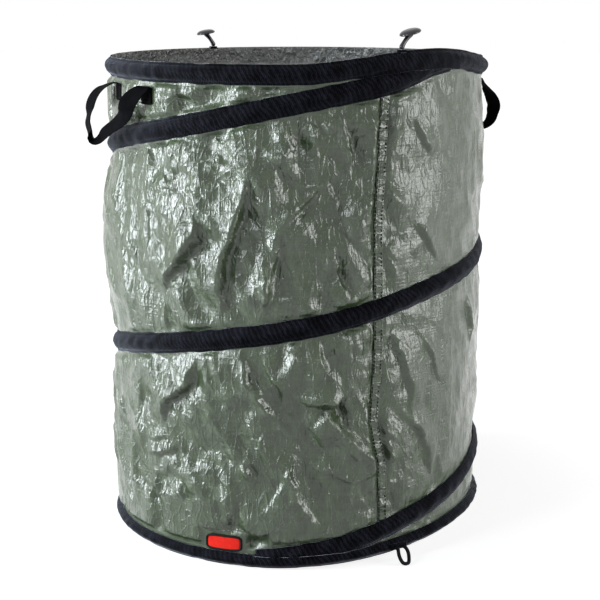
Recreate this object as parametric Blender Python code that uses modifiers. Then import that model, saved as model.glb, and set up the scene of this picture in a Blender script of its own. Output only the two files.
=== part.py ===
"""Leaf bag: a pop-up garden bag of woven tarpaulin on one long spring wire.

The wire makes a hoop in the rim, winds down the wall a little over two turns and ends as a hoop
round the base. Each stretch lies in a black tape sleeve on the outside of the wall. A crimp holds
each end of the wire to the wire beside it. Two webbing handles hang from tails sewn below the rim.
Two toggles on the rim hook into two elastic loops at the base, which hold the bag flat for storage.

Metres, +Z up. The origin is on the floor, in the middle of the base panel. A bearing is in degrees,
counter-clockwise from +X as seen from above, and the bag's front faces 270.
"""
import math

import bmesh
import bpy
from mathutils import Matrix, Vector

# Clearance between touching pieces, the facets round the bag and the turns of a cord's round end
GAP = 0.0003
SIDES = 60
STEP = 360.0 / SIDES
ROUND_END = (0.3, 0.7, 1.1)

# Wall and base of woven tarpaulin
WALL_RADIUS = 0.220
WALL_THICKNESS = 0.0006
PANEL_THICKNESS = 0.0010
PANEL_FLAT_SHARE = 0.45
SEAM_BEARING = 295.3
SEAM_WIDTH = 0.0095
SEAM_THICKNESS = 0.0008

# Rim and base rings: the height of each hoop, and the swell that lifts it on one side
RIM_HEIGHT = 0.553
RIM_LIFT = 0.0145
RIM_LIFT_BEARING = 312.0
RIM_LIFT_SPREAD = 45.0
BASE_HEIGHT = 0.008
BASE_LIFT = 0.022
BASE_LIFT_BEARING = 350.0
BASE_LIFT_SPREAD = 95.0

# Spring wire. Its course down the wall is a list of degrees turned since it left the rim hoop,
# clockwise from above, each with its height as a share of the way from base hoop to rim hoop
WIRE_DIAMETER = 0.0032
WIRE_OUT = 0.0030
WIRE_PITCH_IN_CRIMP = 0.0038
LEAVE_RIM_BEARING = 324.0
LEAVE_SPAN = 30.0
OVERLAP = 12.0
COURSE = (
    (0.0, 1.0), (29.0, 0.976), (55.0, 0.943), (88.0, 0.895), (118.0, 0.857),
    (228.0, 0.716), (337.0, 0.576), (371.0, 0.544), (399.0, 0.508), (432.0, 0.471),
    (483.0, 0.406), (590.0, 0.256), (693.0, 0.108), (716.0, 0.074), (738.0, 0.049),
    (762.0, 0.020), (786.0, 0.0),
)
CRIMP_LENGTH = 0.016
CRIMP_WALL = 0.0006
CRIMP_ARC_STEPS = 5

# Tape sleeves: half the height of each, how far its crown stands out and half the crown's height
TAPE_THICKNESS = 0.0008
HEM = 0.003
RIM_TAPE = (0.011, 0.0062, 0.0033)
HELIX_TAPE = (0.012, 0.0052, 0.0021)
BASE_TAPE = (0.0075, 0.0059, 0.0033)
BASE_HEM = 0.0013
WIRE_ROOM = 0.004
LEAST_TAPE = 0.004
LEAST_STEP = 0.0003

# Webbing handles
WEBBING_WIDTH = 0.020
WEBBING_THICKNESS = 0.0015
TAIL_LENGTH = 0.019
HANDLE_BELOW_RIM_TAPE = 0.0055
HANDLE_HALF_ANGLE = 9.0
FOLD_CLEARANCE = 0.0003
HANDLE_STATIONS = 18
SQUARE_ENDS = 4.0
LEFT_HANDLE = {"bearing": 212.5, "reach": 0.0360, "drop": 0.0625, "swing": -12.0, "skew": 1.3}
RIGHT_HANDLE = {"bearing": 12.5, "reach": 0.0300, "drop": 0.0480, "swing": 0.0, "skew": 1.0}

# Toggles on the rim and elastic loops at the base
FRONT_BEARING = 301.0
BACK_BEARING = 120.0
SADDLE_WIDTH = 0.010
SADDLE_THICKNESS = 0.0010
SADDLE_LEG = 0.0024
STEM_DIAMETER = 0.0058
STEM_RISE = 0.0138
STEM_CURVE = 1.25
HEAD_DIAMETER = 0.024
HEAD_THICKNESS = 0.0052
FRONT_TOGGLE = {"bearing": FRONT_BEARING, "lean": 0.0110, "tilt": -16.0}
BACK_TOGGLE = {"bearing": BACK_BEARING, "lean": 0.0105, "tilt": 10.0}
LOOP_CORD_DIAMETER = 0.0042
LOOP_WIDTH = 0.0185
LOOP_REACH = 0.0175
LOOP_FLOOR_CLEARANCE = 0.0003
LOOP_STEPS = 14
TAB_WIDTH = 0.022
TAB_THICKNESS = 0.0012

# Woven label sewn low on the front
LABEL_BEARING = 248.1
LABEL_SIZE = (0.040, 0.0155)
LABEL_THICKNESS = 0.0006
LABEL_ABOVE_BASE_TAPE = 0.0012

# Base colour, roughness and metallic value of each material
FINISHES = {
    "tarpaulin": ((0.125, 0.165, 0.115), 0.32, 0.0),
    "black_tape": ((0.012, 0.012, 0.018), 0.75, 0.0),
    "black_webbing": ((0.009, 0.009, 0.011), 0.8, 0.0),
    "black_plastic": ((0.010, 0.010, 0.013), 0.22, 0.0),
    "elastic_cord": ((0.010, 0.010, 0.012), 0.6, 0.0),
    "spring_steel": ((0.42, 0.43, 0.45), 0.35, 1.0),
    "crimp_aluminium": ((0.62, 0.63, 0.64), 0.4, 1.0),
    "red_label": ((0.62, 0.045, 0.03), 0.65, 0.0),
}


# Small tools


def clamp(value, low=0.0, high=1.0):
    """The value, held between two limits."""
    return max(low, min(high, value))


def ease(share):
    """A share from 0 to 1, starting and ending gently."""
    share = clamp(share)
    return share * share * (3.0 - 2.0 * share)


def swell(bearing, centre, spread, height):
    """A rounded hump on one bearing, gone at the spread to either side."""
    off = abs((bearing - centre + 180.0) % 360.0 - 180.0)
    if off >= spread:
        return 0.0
    return height * 0.5 * (1.0 + math.cos(math.pi * off / spread))


def read_course(turned):
    """Share of the height at an angle along the course, by a curve that never turns back up."""
    gaps = [(b[0] - a[0], (b[1] - a[1]) / (b[0] - a[0])) for a, b in zip(COURSE, COURSE[1:])]
    slopes = [gaps[0][1]]
    for (_, before), (_, after) in zip(gaps, gaps[1:]):
        slopes.append(2.0 * before * after / (before + after))
    slopes.append(gaps[-1][1])
    index = 0
    while index < len(gaps) - 1 and turned > COURSE[index + 1][0]:
        index += 1
    width = gaps[index][0]
    share = clamp((turned - COURSE[index][0]) / width)
    start, end = COURSE[index][1], COURSE[index + 1][1]
    return (
        start * (1 + 2 * share) * (1 - share) ** 2
        + end * share * share * (3 - 2 * share)
        + width * slopes[index] * share * (1 - share) ** 2
        - width * slopes[index + 1] * share * share * (1 - share)
    )


def rim_height(bearing):
    """Height of the middle of the rim hoop."""
    return RIM_HEIGHT + swell(bearing, RIM_LIFT_BEARING, RIM_LIFT_SPREAD, RIM_LIFT)


def base_rise(bearing):
    """How far the bag's lower edge is lifted off the floor."""
    return swell(bearing, BASE_LIFT_BEARING, BASE_LIFT_SPREAD, BASE_LIFT)


def base_height(bearing):
    """Height of the middle of the base hoop."""
    return BASE_HEIGHT + base_rise(bearing)


def on_wall(bearing, out, height):
    """A point at a distance out from the wall, whose plan is a regular polygon."""
    off = math.radians(bearing % STEP - STEP / 2.0)
    radius = (WALL_RADIUS + out) * math.cos(math.radians(STEP / 2.0)) / math.cos(off)
    angle = math.radians(bearing)
    return Vector((radius * math.cos(angle), radius * math.sin(angle), height))


def degrees_along(length):
    """The angle that a length along the wall spans."""
    return math.degrees(length / WALL_RADIUS)


def radial(bearing):
    """Unit vector pointing out of the bag."""
    return Vector((math.cos(math.radians(bearing)), math.sin(math.radians(bearing)), 0.0))


def along(bearing):
    """Unit vector round the bag, counter-clockwise."""
    return Vector((-math.sin(math.radians(bearing)), math.cos(math.radians(bearing)), 0.0))


# Making objects


def finish_of(name):
    """The named material, made once."""
    known = bpy.data.materials.get(name)
    if known:
        return known
    colour, roughness, metallic = FINISHES[name]
    made = bpy.data.materials.new(name)
    made.use_nodes = True
    shader = made.node_tree.nodes["Principled BSDF"]
    shader.inputs["Base Color"].default_value = (*colour, 1.0)
    shader.inputs["Roughness"].default_value = roughness
    shader.inputs["Metallic"].default_value = metallic
    made.diffuse_color = (*colour, 1.0)
    return made


def new_object(name, data, finish, pivot=None):
    """Link an object to the bag's collection, with its origin at the pivot."""
    made = bpy.data.objects.new(name, data)
    data.materials.append(finish_of(finish))
    bpy.data.collections["leaf_bag"].objects.link(made)
    if pivot is not None:
        data.transform(Matrix.Translation(-pivot))
        made.location = pivot
    return made


def grid_mesh(name, rows, closed=False):
    """Quads between rows of points; a closed grid joins its last row to its first."""
    mesh = bmesh.new()
    grid = [[mesh.verts.new(point) for point in row] for row in rows]
    pairs = list(zip(grid, grid[1:])) + ([(grid[-1], grid[0])] if closed else [])
    for here, there in pairs:
        for column in range(len(here) - 1):
            mesh.faces.new((here[column], there[column], there[column + 1], here[column + 1]))
    data = bpy.data.meshes.new(name)
    mesh.to_mesh(data)
    mesh.free()
    return data


def sheet(name, rows, thickness, finish, closed=False, offset=1.0, pivot=None, even=True):
    """An open surface given a thickness on the side that its faces point to."""
    made = new_object(name, grid_mesh(name, rows, closed), finish, pivot)
    shell = made.modifiers.new("thickness", "SOLIDIFY")
    shell.thickness = thickness
    shell.offset = offset
    shell.use_even_offset = even
    made.data.shade_smooth()
    return made


def tube(name, diameter, points):
    """A round tube along points, each given with its share of the radius there."""
    data = bpy.data.curves.new(name, "CURVE")
    data.dimensions = "3D"
    data.bevel_depth = diameter / 2.0
    data.bevel_resolution = 2
    data.use_fill_caps = True
    spline = data.splines.new("POLY")
    spline.points.add(len(points) - 1)
    for knot, (point, share) in zip(spline.points, points):
        knot.co = (*point, 1.0)
        knot.radius = share
    return data


def wall_strip(name, bearing, width, low, high, out, thickness, finish, tilt=0.0, columns=4):
    """A strip of cloth laid against the wall; low and high are heights at a bearing."""
    half = degrees_along(width) / 2.0
    rows = []
    for index in range(columns + 1):
        share = 1.0 - 2.0 * index / columns
        place = bearing + half * share
        raised = math.tan(math.radians(tilt)) * share * width / 2.0
        rows.append([on_wall(place, out, high(place) + raised), on_wall(place, out, low(place) + raised)])
    return sheet(name, rows, thickness, finish)


# Wall, base panel and seam


def make_wall():
    """The wall: one sheet sewn into a tube, from the base panel to the top of the rim tape."""
    rows = []
    for index in range(SIDES):
        bearing = -index * STEP
        top = rim_height(bearing) + RIM_TAPE[0]
        low = base_rise(bearing) + PANEL_THICKNESS + GAP
        rows.append([on_wall(bearing, 0.0, top), on_wall(bearing, 0.0, low)])
    sheet("wall_panel", rows, WALL_THICKNESS, "tarpaulin", closed=True, offset=-1.0)


def make_base_panel():
    """The base: a disc that lies on the floor and rises to the lifted side of the base hoop."""
    shares = (1.0, 0.86, 0.72, 0.58, PANEL_FLAT_SHARE)
    mesh = bmesh.new()
    rings = []
    for share in shares:
        lift = ease((share - PANEL_FLAT_SHARE) / (1.0 - PANEL_FLAT_SHARE))
        ring = []
        for index in range(SIDES):
            bearing = index * STEP
            point = on_wall(bearing, 0.0, 0.0) * share
            point.z = base_rise(bearing) * lift
            ring.append(mesh.verts.new(point))
        rings.append(ring)
    for outer, inner in zip(rings, rings[1:]):
        for index in range(SIDES):
            after = (index + 1) % SIDES
            mesh.faces.new((outer[index], outer[after], inner[after], inner[index]))
    mesh.faces.new(rings[-1])
    data = bpy.data.meshes.new("base_panel")
    mesh.to_mesh(data)
    mesh.free()
    made = new_object("base_panel", data, "tarpaulin")
    shell = made.modifiers.new("thickness", "SOLIDIFY")
    shell.thickness = PANEL_THICKNESS
    shell.offset = 1.0


def make_seam():
    """The felled seam that closes the wall, its folded allowance lying inside."""
    out = -WALL_THICKNESS - GAP - SEAM_THICKNESS
    wall_strip(
        "wall_seam", SEAM_BEARING, SEAM_WIDTH,
        lambda place: base_rise(place) + PANEL_THICKNESS + 2.0 * GAP,
        lambda place: rim_height(place) + RIM_TAPE[0] - HEM,
        out, SEAM_THICKNESS, "tarpaulin", columns=2,
    )


# Spring wire and its crimps


def stacked(turned, span):
    """Half the crimp's pitch at one end of a hoop, drifting to minus half at the other end."""
    share = clamp((turned - OVERLAP) / (span - OVERLAP))
    return WIRE_PITCH_IN_CRIMP * (0.5 - share)


def helix_height(turned):
    """Height of the wire on its way down the wall, eased out of the rim hoop into its course."""
    bearing = LEAVE_RIM_BEARING - turned
    low = base_height(bearing) + WIRE_PITCH_IN_CRIMP / 2.0
    course = low + read_course(turned) * (RIM_HEIGHT - low)
    hoop = rim_height(bearing) - WIRE_PITCH_IN_CRIMP / 2.0
    return hoop + (course - hoop) * ease(turned / LEAVE_SPAN)


def wire_height(turned):
    """Height of the wire's middle; turned is below 0 in the rim hoop."""
    bearing = LEAVE_RIM_BEARING - turned
    last = COURSE[-1][0]
    if turned < 0.0:
        return rim_height(bearing) + stacked(turned + 360.0 + OVERLAP, 360.0)
    if turned <= last:
        return helix_height(turned)
    return base_height(bearing) + stacked(turned - last, 360.0)


def wire_point(turned):
    """The wire's middle at an angle along its course."""
    return on_wall(LEAVE_RIM_BEARING - turned, WIRE_OUT, wire_height(turned))


def make_wire():
    """The spring: rim hoop, helix and base hoop in one unbroken length."""
    first = -round((360.0 + OVERLAP) / STEP)
    last = round((COURSE[-1][0] + 360.0 + OVERLAP) / STEP)
    points = [(wire_point(index * STEP), 1.0) for index in range(first, last + 1)]
    new_object("spring_wire", tube("spring_wire", WIRE_DIAMETER, points), "spring_steel")


def make_crimp(name, turned):
    """An oval sleeve pressed over two wires that lie one above the other."""
    ends = [
        (wire_point(where) + wire_point(where + side)) / 2.0
        for where, side in ((turned, pair_of(turned)), (turned + STEP, pair_of(turned)))
    ]
    middle = (ends[0] + ends[1]) / 2.0
    axis = (ends[1] - ends[0]).normalized()
    across = axis.cross(Vector((0.0, 0.0, 1.0))).normalized()
    up = across.cross(axis)
    bore = WIRE_DIAMETER / 2.0 + GAP
    outline = []
    for centre, start in ((WIRE_PITCH_IN_CRIMP / 2.0, 0.0), (-WIRE_PITCH_IN_CRIMP / 2.0, math.pi)):
        for index in range(CRIMP_ARC_STEPS + 1):
            turn = start + math.pi * index / CRIMP_ARC_STEPS
            outline.append(across * bore * math.cos(turn) + up * (centre + bore * math.sin(turn)))
    rows = [
        [middle + corner + axis * CRIMP_LENGTH / 2.0, middle + corner - axis * CRIMP_LENGTH / 2.0]
        for corner in outline
    ]
    sheet(name, rows, CRIMP_WALL, "crimp_aluminium", closed=True, offset=1.0, even=True)


def pair_of(turned):
    """The turn from this stretch of wire to the one it is crimped to."""
    return -360.0 if turned < 0.0 else 360.0


# Tape sleeves


def tape_section(bearing, top, bottom, middle, tape, hem, high_lift=0.0, low_lift=0.0):
    """Points down the inside of a tape that arches over the wire; a lift frees a hem from the wall."""
    _, crown, plateau = tape
    hem = min(hem, (top - bottom) / 4.0)
    heights = [top, top - hem, middle + plateau, middle - plateau, bottom + hem, bottom]
    outs = [crown * high_lift, crown * high_lift, crown, crown, crown * low_lift, crown * low_lift]
    for index in range(1, 6):
        heights[index] = min(heights[index], heights[index - 1] - LEAST_STEP)
    heights[5] = bottom
    for index in range(4, 0, -1):
        heights[index] = max(heights[index], heights[index + 1] + LEAST_STEP)
    return [on_wall(bearing, GAP + out, height) for out, height in zip(outs, heights)]


def hem_lift(turned, hoop_height, half):
    """How far a hoop tape's hem stands off the wall, so that the helix wire can pass under it.

    It is free between where the wire has left the hoop and where it lies well beyond the hem, and
    one facet further to either side.
    """
    lifts = []
    for place in (turned - STEP, turned, turned + STEP):
        offset = abs(helix_height(place) - hoop_height(LEAVE_RIM_BEARING - place))
        leaving = clamp((offset - WIRE_PITCH_IN_CRIMP / 2.0) / (WIRE_ROOM / 2.0))
        lifts.append(min(leaving, beyond(offset - half)))
    return max(lifts)


def beyond(room):
    """1 where the wire lies at a tape's edge, and 0 where it is half a helix tape away."""
    return clamp((HELIX_TAPE[0] - room) / (HELIX_TAPE[0] - WIRE_ROOM))


def make_rim_sleeve():
    """The rim tape; its lower hem is open where the wire leaves for the helix."""
    rows = []
    for index in range(SIDES):
        turned = index * STEP
        bearing = LEAVE_RIM_BEARING - turned
        middle = rim_height(bearing)
        lift = hem_lift(turned, rim_height, RIM_TAPE[0])
        rows.append(tape_section(
            bearing, middle + RIM_TAPE[0], middle - RIM_TAPE[0], middle, RIM_TAPE, HEM, 0.0, lift,
        ))
    sheet("rim_sleeve", rows, TAPE_THICKNESS, "black_tape", closed=True)


def make_base_sleeve():
    """The base tape; its upper hem is open where the helix arrives."""
    rows = []
    for index in range(SIDES):
        turned = COURSE[-1][0] - index * STEP
        bearing = LEAVE_RIM_BEARING - turned
        middle = base_height(bearing)
        lift = hem_lift(turned, base_height, BASE_TAPE[0])
        rows.append(tape_section(
            bearing, middle + BASE_TAPE[0], middle - BASE_TAPE[0], middle, BASE_TAPE, BASE_HEM, lift, 0.0,
        ))
    rows.reverse()
    sheet("base_sleeve", rows, TAPE_THICKNESS, "black_tape", closed=True)


def make_helix_sleeve():
    """The tape down the wall; it comes out from under the rim tape and runs out on the base tape."""
    rows = []
    last = COURSE[-1][0]
    for index in range(round(last / STEP) + 1):
        turned = index * STEP
        bearing = LEAVE_RIM_BEARING - turned
        wire = helix_height(turned)
        top, bottom = wire + HELIX_TAPE[0], wire - HELIX_TAPE[0]
        if turned < 180.0:
            top = min(top, rim_height(bearing) - RIM_TAPE[0] - GAP)
        if turned > last - 180.0:
            bottom = max(bottom, base_height(bearing) + BASE_TAPE[0] + GAP)
        if top - bottom >= LEAST_TAPE:
            rows.append(tape_section(
                bearing, top, bottom, wire, HELIX_TAPE, HEM, beyond(top - wire), beyond(wire - bottom),
            ))
    sheet("helix_sleeve", rows, TAPE_THICKNESS, "black_tape")


# Handles


def handle_axis_height():
    """Height at which a handle folds over the tops of its sewn tails."""
    return RIM_HEIGHT - RIM_TAPE[0] - HANDLE_BELOW_RIM_TAPE


def handle_axis_out():
    """How far from the wall the middle of the webbing lies at that fold."""
    return 2.0 * GAP + 1.5 * WEBBING_THICKNESS


def handle_pivot(handle):
    """The point midway between the folds at the handle's two ends."""
    ends = [
        on_wall(handle["bearing"] + side * HANDLE_HALF_ANGLE, handle_axis_out(), handle_axis_height())
        for side in (1.0, -1.0)
    ]
    return (ends[0] + ends[1]) / 2.0


def handle_point(handle, share):
    """The middle of the webbing: out and down in a loop that may hang askew."""
    bow = math.sin(math.pi * share)
    late_bow = math.sin(math.pi * share ** handle["skew"])
    turn = HANDLE_HALF_ANGLE * math.cos(math.pi * share) + handle["swing"] * bow ** 1.2
    out = handle_axis_out() + handle["reach"] * late_bow
    angle = handle["bearing"] + turn
    return radial(angle) * (WALL_RADIUS + out) + Vector((0.0, 0.0, handle_axis_height() - handle["drop"] * bow))


def make_handle(name, handle):
    """A loop of webbing, square to its folds, that turns on edge at the bottom of the loop."""
    rows = []
    step = 1.0 / HANDLE_STATIONS
    for index in range(HANDLE_STATIONS + 1):
        share = index * step
        ahead = handle_point(handle, min(1.0, share + step / 2.0))
        behind = handle_point(handle, max(0.0, share - step / 2.0))
        course = (ahead - behind).normalized()
        flat = along(handle["bearing"] + HANDLE_HALF_ANGLE * math.cos(math.pi * share))
        edge = radial(handle["bearing"]) * 0.75 - Vector((0.0, 0.0, 0.65))
        turned = math.sin(math.pi * share) ** 2
        across = flat * math.cos(math.pi * share) * (1.0 - turned) + edge * turned
        skewed = across.dot(course) * min(1.0, SQUARE_ENDS * turned)
        across = (across - course * skewed).normalized() * WEBBING_WIDTH / 2.0
        middle = handle_point(handle, share)
        rows.append([middle + across, middle - across])
    sheet(name, rows, WEBBING_THICKNESS, "black_webbing", offset=0.0, pivot=handle_pivot(handle), even=False)


def make_tails(side_name, handle):
    """The two sewn ends that carry a handle."""
    top = handle_axis_height() - WEBBING_THICKNESS / 2.0 - FOLD_CLEARANCE
    for end_name, side in (("front", 1.0), ("rear", -1.0)):
        facing = side if handle["bearing"] > 180.0 else -side
        wall_strip(
            f"{side_name}_handle_{end_name}_tail",
            handle["bearing"] + facing * HANDLE_HALF_ANGLE, WEBBING_WIDTH,
            lambda place: top - TAIL_LENGTH, lambda place: top,
            GAP, WEBBING_THICKNESS, "black_webbing",
        )


# Toggles and the loops they hook into


def rim_top(bearing):
    """Height of the upper edge of wall and rim tape."""
    return rim_height(bearing) + RIM_TAPE[0]


def make_saddle(name, bearing):
    """A short tape folded over the rim's upper edge, which carries a toggle."""
    outer, inner = 2.0 * GAP + TAPE_THICKNESS, -WALL_THICKNESS - GAP
    half = degrees_along(SADDLE_WIDTH) / 2.0
    rows = []
    for place in (bearing + half, bearing, bearing - half):
        top = rim_top(place) + GAP
        rows.append([
            on_wall(place, inner, top - SADDLE_LEG), on_wall(place, inner, top),
            on_wall(place, outer, top), on_wall(place, outer, top - SADDLE_LEG),
        ])
    sheet(name, rows, SADDLE_THICKNESS, "black_tape")


def toggle_pivot(bearing):
    """The point about which a toggle's foot bends, just over its saddle."""
    foot = rim_top(bearing) + GAP + SADDLE_THICKNESS + GAP + STEM_DIAMETER / 2.0
    return on_wall(bearing, (TAPE_THICKNESS - WALL_THICKNESS) / 2.0, foot)


def stem_mesh(name, points):
    """A toggle's stem as a closed mesh."""
    curve = bpy.data.objects.new(name, tube(name, STEM_DIAMETER, points))
    bpy.context.scene.collection.objects.link(curve)
    graph = bpy.context.evaluated_depsgraph_get()
    made = bpy.data.meshes.new_from_object(curve.evaluated_get(graph))
    bpy.data.objects.remove(curve)
    mesh = bmesh.new()
    mesh.from_mesh(made)
    bmesh.ops.remove_doubles(mesh, verts=mesh.verts, dist=0.00001)
    mesh.to_mesh(made)
    mesh.free()
    return made


def head_object(name):
    """The toggle's domed head: a turned profile with a rolled lip, standing on its neck."""
    radius, thick = HEAD_DIAMETER / 2.0, HEAD_THICKNESS
    profile = (
        (0.0, thick), (0.5 * radius, 0.92 * thick), (0.82 * radius, 0.66 * thick),
        (radius, 0.3 * thick), (0.96 * radius, 0.06 * thick), (0.80 * radius, 0.0),
        (0.42 * radius, 0.10 * thick), (0.0, 0.14 * thick),
    )
    mesh = bmesh.new()
    corners = [mesh.verts.new((out, 0.0, height)) for out, height in profile]
    for here, there in zip(corners, corners[1:]):
        mesh.edges.new((here, there))
    data = bpy.data.meshes.new(name)
    mesh.to_mesh(data)
    mesh.free()
    made = bpy.data.objects.new(name, data)
    turned = made.modifiers.new("turn", "SCREW")
    turned.steps = turned.render_steps = 20
    turned.use_merge_vertices = True
    turned.merge_threshold = 0.00001
    return made


def make_toggle(name, toggle):
    """A moulded toggle: a stem with a round foot, leaning round the rim under a tilted, domed head."""
    bearing, lean = toggle["bearing"], toggle["lean"]
    pivot = toggle_pivot(bearing)
    sideways = along(bearing)
    tilt = math.radians(toggle["tilt"])
    head_axis = (sideways * math.sin(tilt) + Vector((0.0, 0.0, math.cos(tilt)))).normalized()
    neck = sideways * lean + Vector((0.0, 0.0, STEM_RISE))
    points = [
        (Vector((0.0, 0.0, -STEM_DIAMETER / 2.0 * math.cos(turn))), math.sin(turn)) for turn in ROUND_END
    ]
    for share in (0.0, 0.25, 0.5, 0.75, 1.0):
        bent = sideways * lean * share ** STEM_CURVE + Vector((0.0, 0.0, STEM_RISE * share))
        points.append((bent, 1.0))
    points.append((neck + head_axis * HEAD_THICKNESS * 0.45, 1.0))
    stem = new_object(name, stem_mesh(name, points), "black_plastic")
    stem.location = pivot
    head = head_object(name + "_head")
    bpy.data.collections["cutters"].objects.link(head)
    head.matrix_world = Matrix.Translation(pivot + neck) @ (
        Vector((0.0, 0.0, 1.0)).rotation_difference(head_axis).to_matrix().to_4x4()
    )
    head.hide_render = True
    head.display_type = "WIRE"
    union = stem.modifiers.new("head", "BOOLEAN")
    union.operation = "UNION"
    union.object = head
    stem.data.shade_smooth()


def tape_face(tape):
    """How far from the wall the outer face of a tape's crown stands."""
    return GAP + tape[1] + TAPE_THICKNESS


def make_loop_tab(name, bearing):
    """A stitched tab on the crown of the base tape, which holds the ends of an elastic loop."""
    wall_strip(
        name, bearing, TAB_WIDTH,
        lambda place: base_height(place) - BASE_TAPE[2], lambda place: base_height(place) + BASE_TAPE[2],
        tape_face(BASE_TAPE) + GAP, TAB_THICKNESS, "black_tape", columns=4,
    )


def loop_root(bearing):
    """The point about which a loop lifts, so that its round ends turn clear of the tab."""
    out = tape_face(BASE_TAPE) + GAP + TAB_THICKNESS + GAP + LOOP_CORD_DIAMETER / 2.0
    return on_wall(bearing, out, base_height(bearing) - BASE_TAPE[2] + LOOP_CORD_DIAMETER / 2.0)


def make_loop(name, bearing):
    """An elastic cord bent into a loop that lies out on the floor."""
    root = loop_root(bearing)
    thick = LOOP_CORD_DIAMETER / 2.0
    half = LOOP_WIDTH / 2.0 - thick
    floor = LOOP_FLOOR_CLEARANCE + thick
    points = []
    for index in range(LOOP_STEPS + 1):
        turn = math.pi * index / LOOP_STEPS
        forward = math.sin(turn) ** 0.9
        sunk = (floor - root.z) * ease(forward)
        spread = half * math.cos(turn) * (0.72 + 0.28 * ease(forward * 2.0))
        out = radial(bearing) * (thick + (LOOP_REACH - 3.0 * thick) * forward)
        points.append(along(bearing) * spread + out + Vector((0.0, 0.0, sunk)))
    cuffs = [(radial(bearing) * (-thick * (1.0 + math.cos(turn))), math.sin(turn)) for turn in ROUND_END]
    points = (
        [(points[0] + cuff, share) for cuff, share in cuffs]
        + [(points[0] - radial(bearing) * thick, 1.0)]
        + [(point, 1.0) for point in points]
        + [(points[-1] - radial(bearing) * thick, 1.0)]
        + [(points[-1] + cuff, share) for cuff, share in reversed(cuffs)]
    )
    new_object(name, tube(name, LOOP_CORD_DIAMETER, points), "elastic_cord").location = root


# Label


def make_label():
    """A plain woven label sewn just above the base tape."""
    width, height = LABEL_SIZE
    low = BASE_TAPE[0] + LABEL_ABOVE_BASE_TAPE
    wall_strip(
        "label", LABEL_BEARING, width,
        lambda place: base_height(place) + low, lambda place: base_height(place) + low + height,
        GAP, LABEL_THICKNESS, "red_label", columns=8,
    )


def clear_scene():
    """Remove what the file holds and make the two collections."""
    for old in list(bpy.data.objects):
        bpy.data.objects.remove(old)
    for name in ("leaf_bag", "cutters"):
        if name not in bpy.data.collections:
            bpy.context.scene.collection.children.link(bpy.data.collections.new(name))


def main():
    """Build the bag from the base up."""
    clear_scene()
    make_base_panel()
    make_wall()
    make_seam()
    make_wire()
    make_crimp("rim_crimp", -STEP)
    make_crimp("base_crimp", COURSE[-1][0] + STEP)
    make_base_sleeve()
    make_helix_sleeve()
    make_rim_sleeve()
    for side_name, handle in (("left", LEFT_HANDLE), ("right", RIGHT_HANDLE)):
        make_handle(f"{side_name}_handle", handle)
        make_tails(side_name, handle)
    for end_name, toggle in (("front", FRONT_TOGGLE), ("back", BACK_TOGGLE)):
        make_saddle(f"{end_name}_toggle_saddle", toggle["bearing"])
        make_toggle(f"{end_name}_toggle", toggle)
        make_loop_tab(f"{end_name}_loop_tab", toggle["bearing"])
        make_loop(f"{end_name}_loop", toggle["bearing"])
    make_label()


main()
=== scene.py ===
"""Leaf bag: the looks of a pop-up garden bag of coated tarpaulin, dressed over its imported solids.

Metres, +Z up. A bearing is in degrees, counter-clockwise from +X seen from above; the front is 270.
Every new piece is a surface worked out with numpy over a grid of two parameters. A finish is given by the
name of its material. The tables hold whole numbers where they can, divided by a unit for each column.
"""

import math

import bmesh
import bpy
import numpy as np
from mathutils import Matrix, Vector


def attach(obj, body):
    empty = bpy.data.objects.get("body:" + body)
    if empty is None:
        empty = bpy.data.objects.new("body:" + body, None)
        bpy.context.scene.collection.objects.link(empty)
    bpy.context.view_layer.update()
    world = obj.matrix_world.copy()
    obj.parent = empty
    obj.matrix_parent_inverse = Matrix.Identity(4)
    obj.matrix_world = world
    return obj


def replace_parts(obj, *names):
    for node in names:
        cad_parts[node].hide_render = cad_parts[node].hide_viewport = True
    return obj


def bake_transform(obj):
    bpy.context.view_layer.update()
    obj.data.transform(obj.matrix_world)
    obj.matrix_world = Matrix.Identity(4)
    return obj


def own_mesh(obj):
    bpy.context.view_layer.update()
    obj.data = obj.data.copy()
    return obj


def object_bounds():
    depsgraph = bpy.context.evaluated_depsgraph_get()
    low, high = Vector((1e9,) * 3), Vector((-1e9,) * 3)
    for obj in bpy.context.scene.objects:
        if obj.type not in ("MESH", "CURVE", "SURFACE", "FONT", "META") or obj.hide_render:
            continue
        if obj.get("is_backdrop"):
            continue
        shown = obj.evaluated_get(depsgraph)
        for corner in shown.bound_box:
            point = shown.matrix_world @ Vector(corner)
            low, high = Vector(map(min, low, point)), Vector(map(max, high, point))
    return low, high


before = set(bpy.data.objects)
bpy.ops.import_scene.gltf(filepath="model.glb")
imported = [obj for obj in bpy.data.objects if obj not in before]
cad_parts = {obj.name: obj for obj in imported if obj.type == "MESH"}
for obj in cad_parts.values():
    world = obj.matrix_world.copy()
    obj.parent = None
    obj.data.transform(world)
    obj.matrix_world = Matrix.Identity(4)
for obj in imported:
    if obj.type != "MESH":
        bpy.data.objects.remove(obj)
SOLID_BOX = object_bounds()

# Wall, base and seam, as in the part's source
GAP = 0.0003
STEP = 6.0
WALL_RADIUS, WALL_THICKNESS = 0.220, 0.0006
PANEL_THICKNESS, PANEL_FLAT_SHARE = 0.0010, 0.45
SEAM_BEARING, SEAM_WIDTH = 295.3, 0.0095

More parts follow.
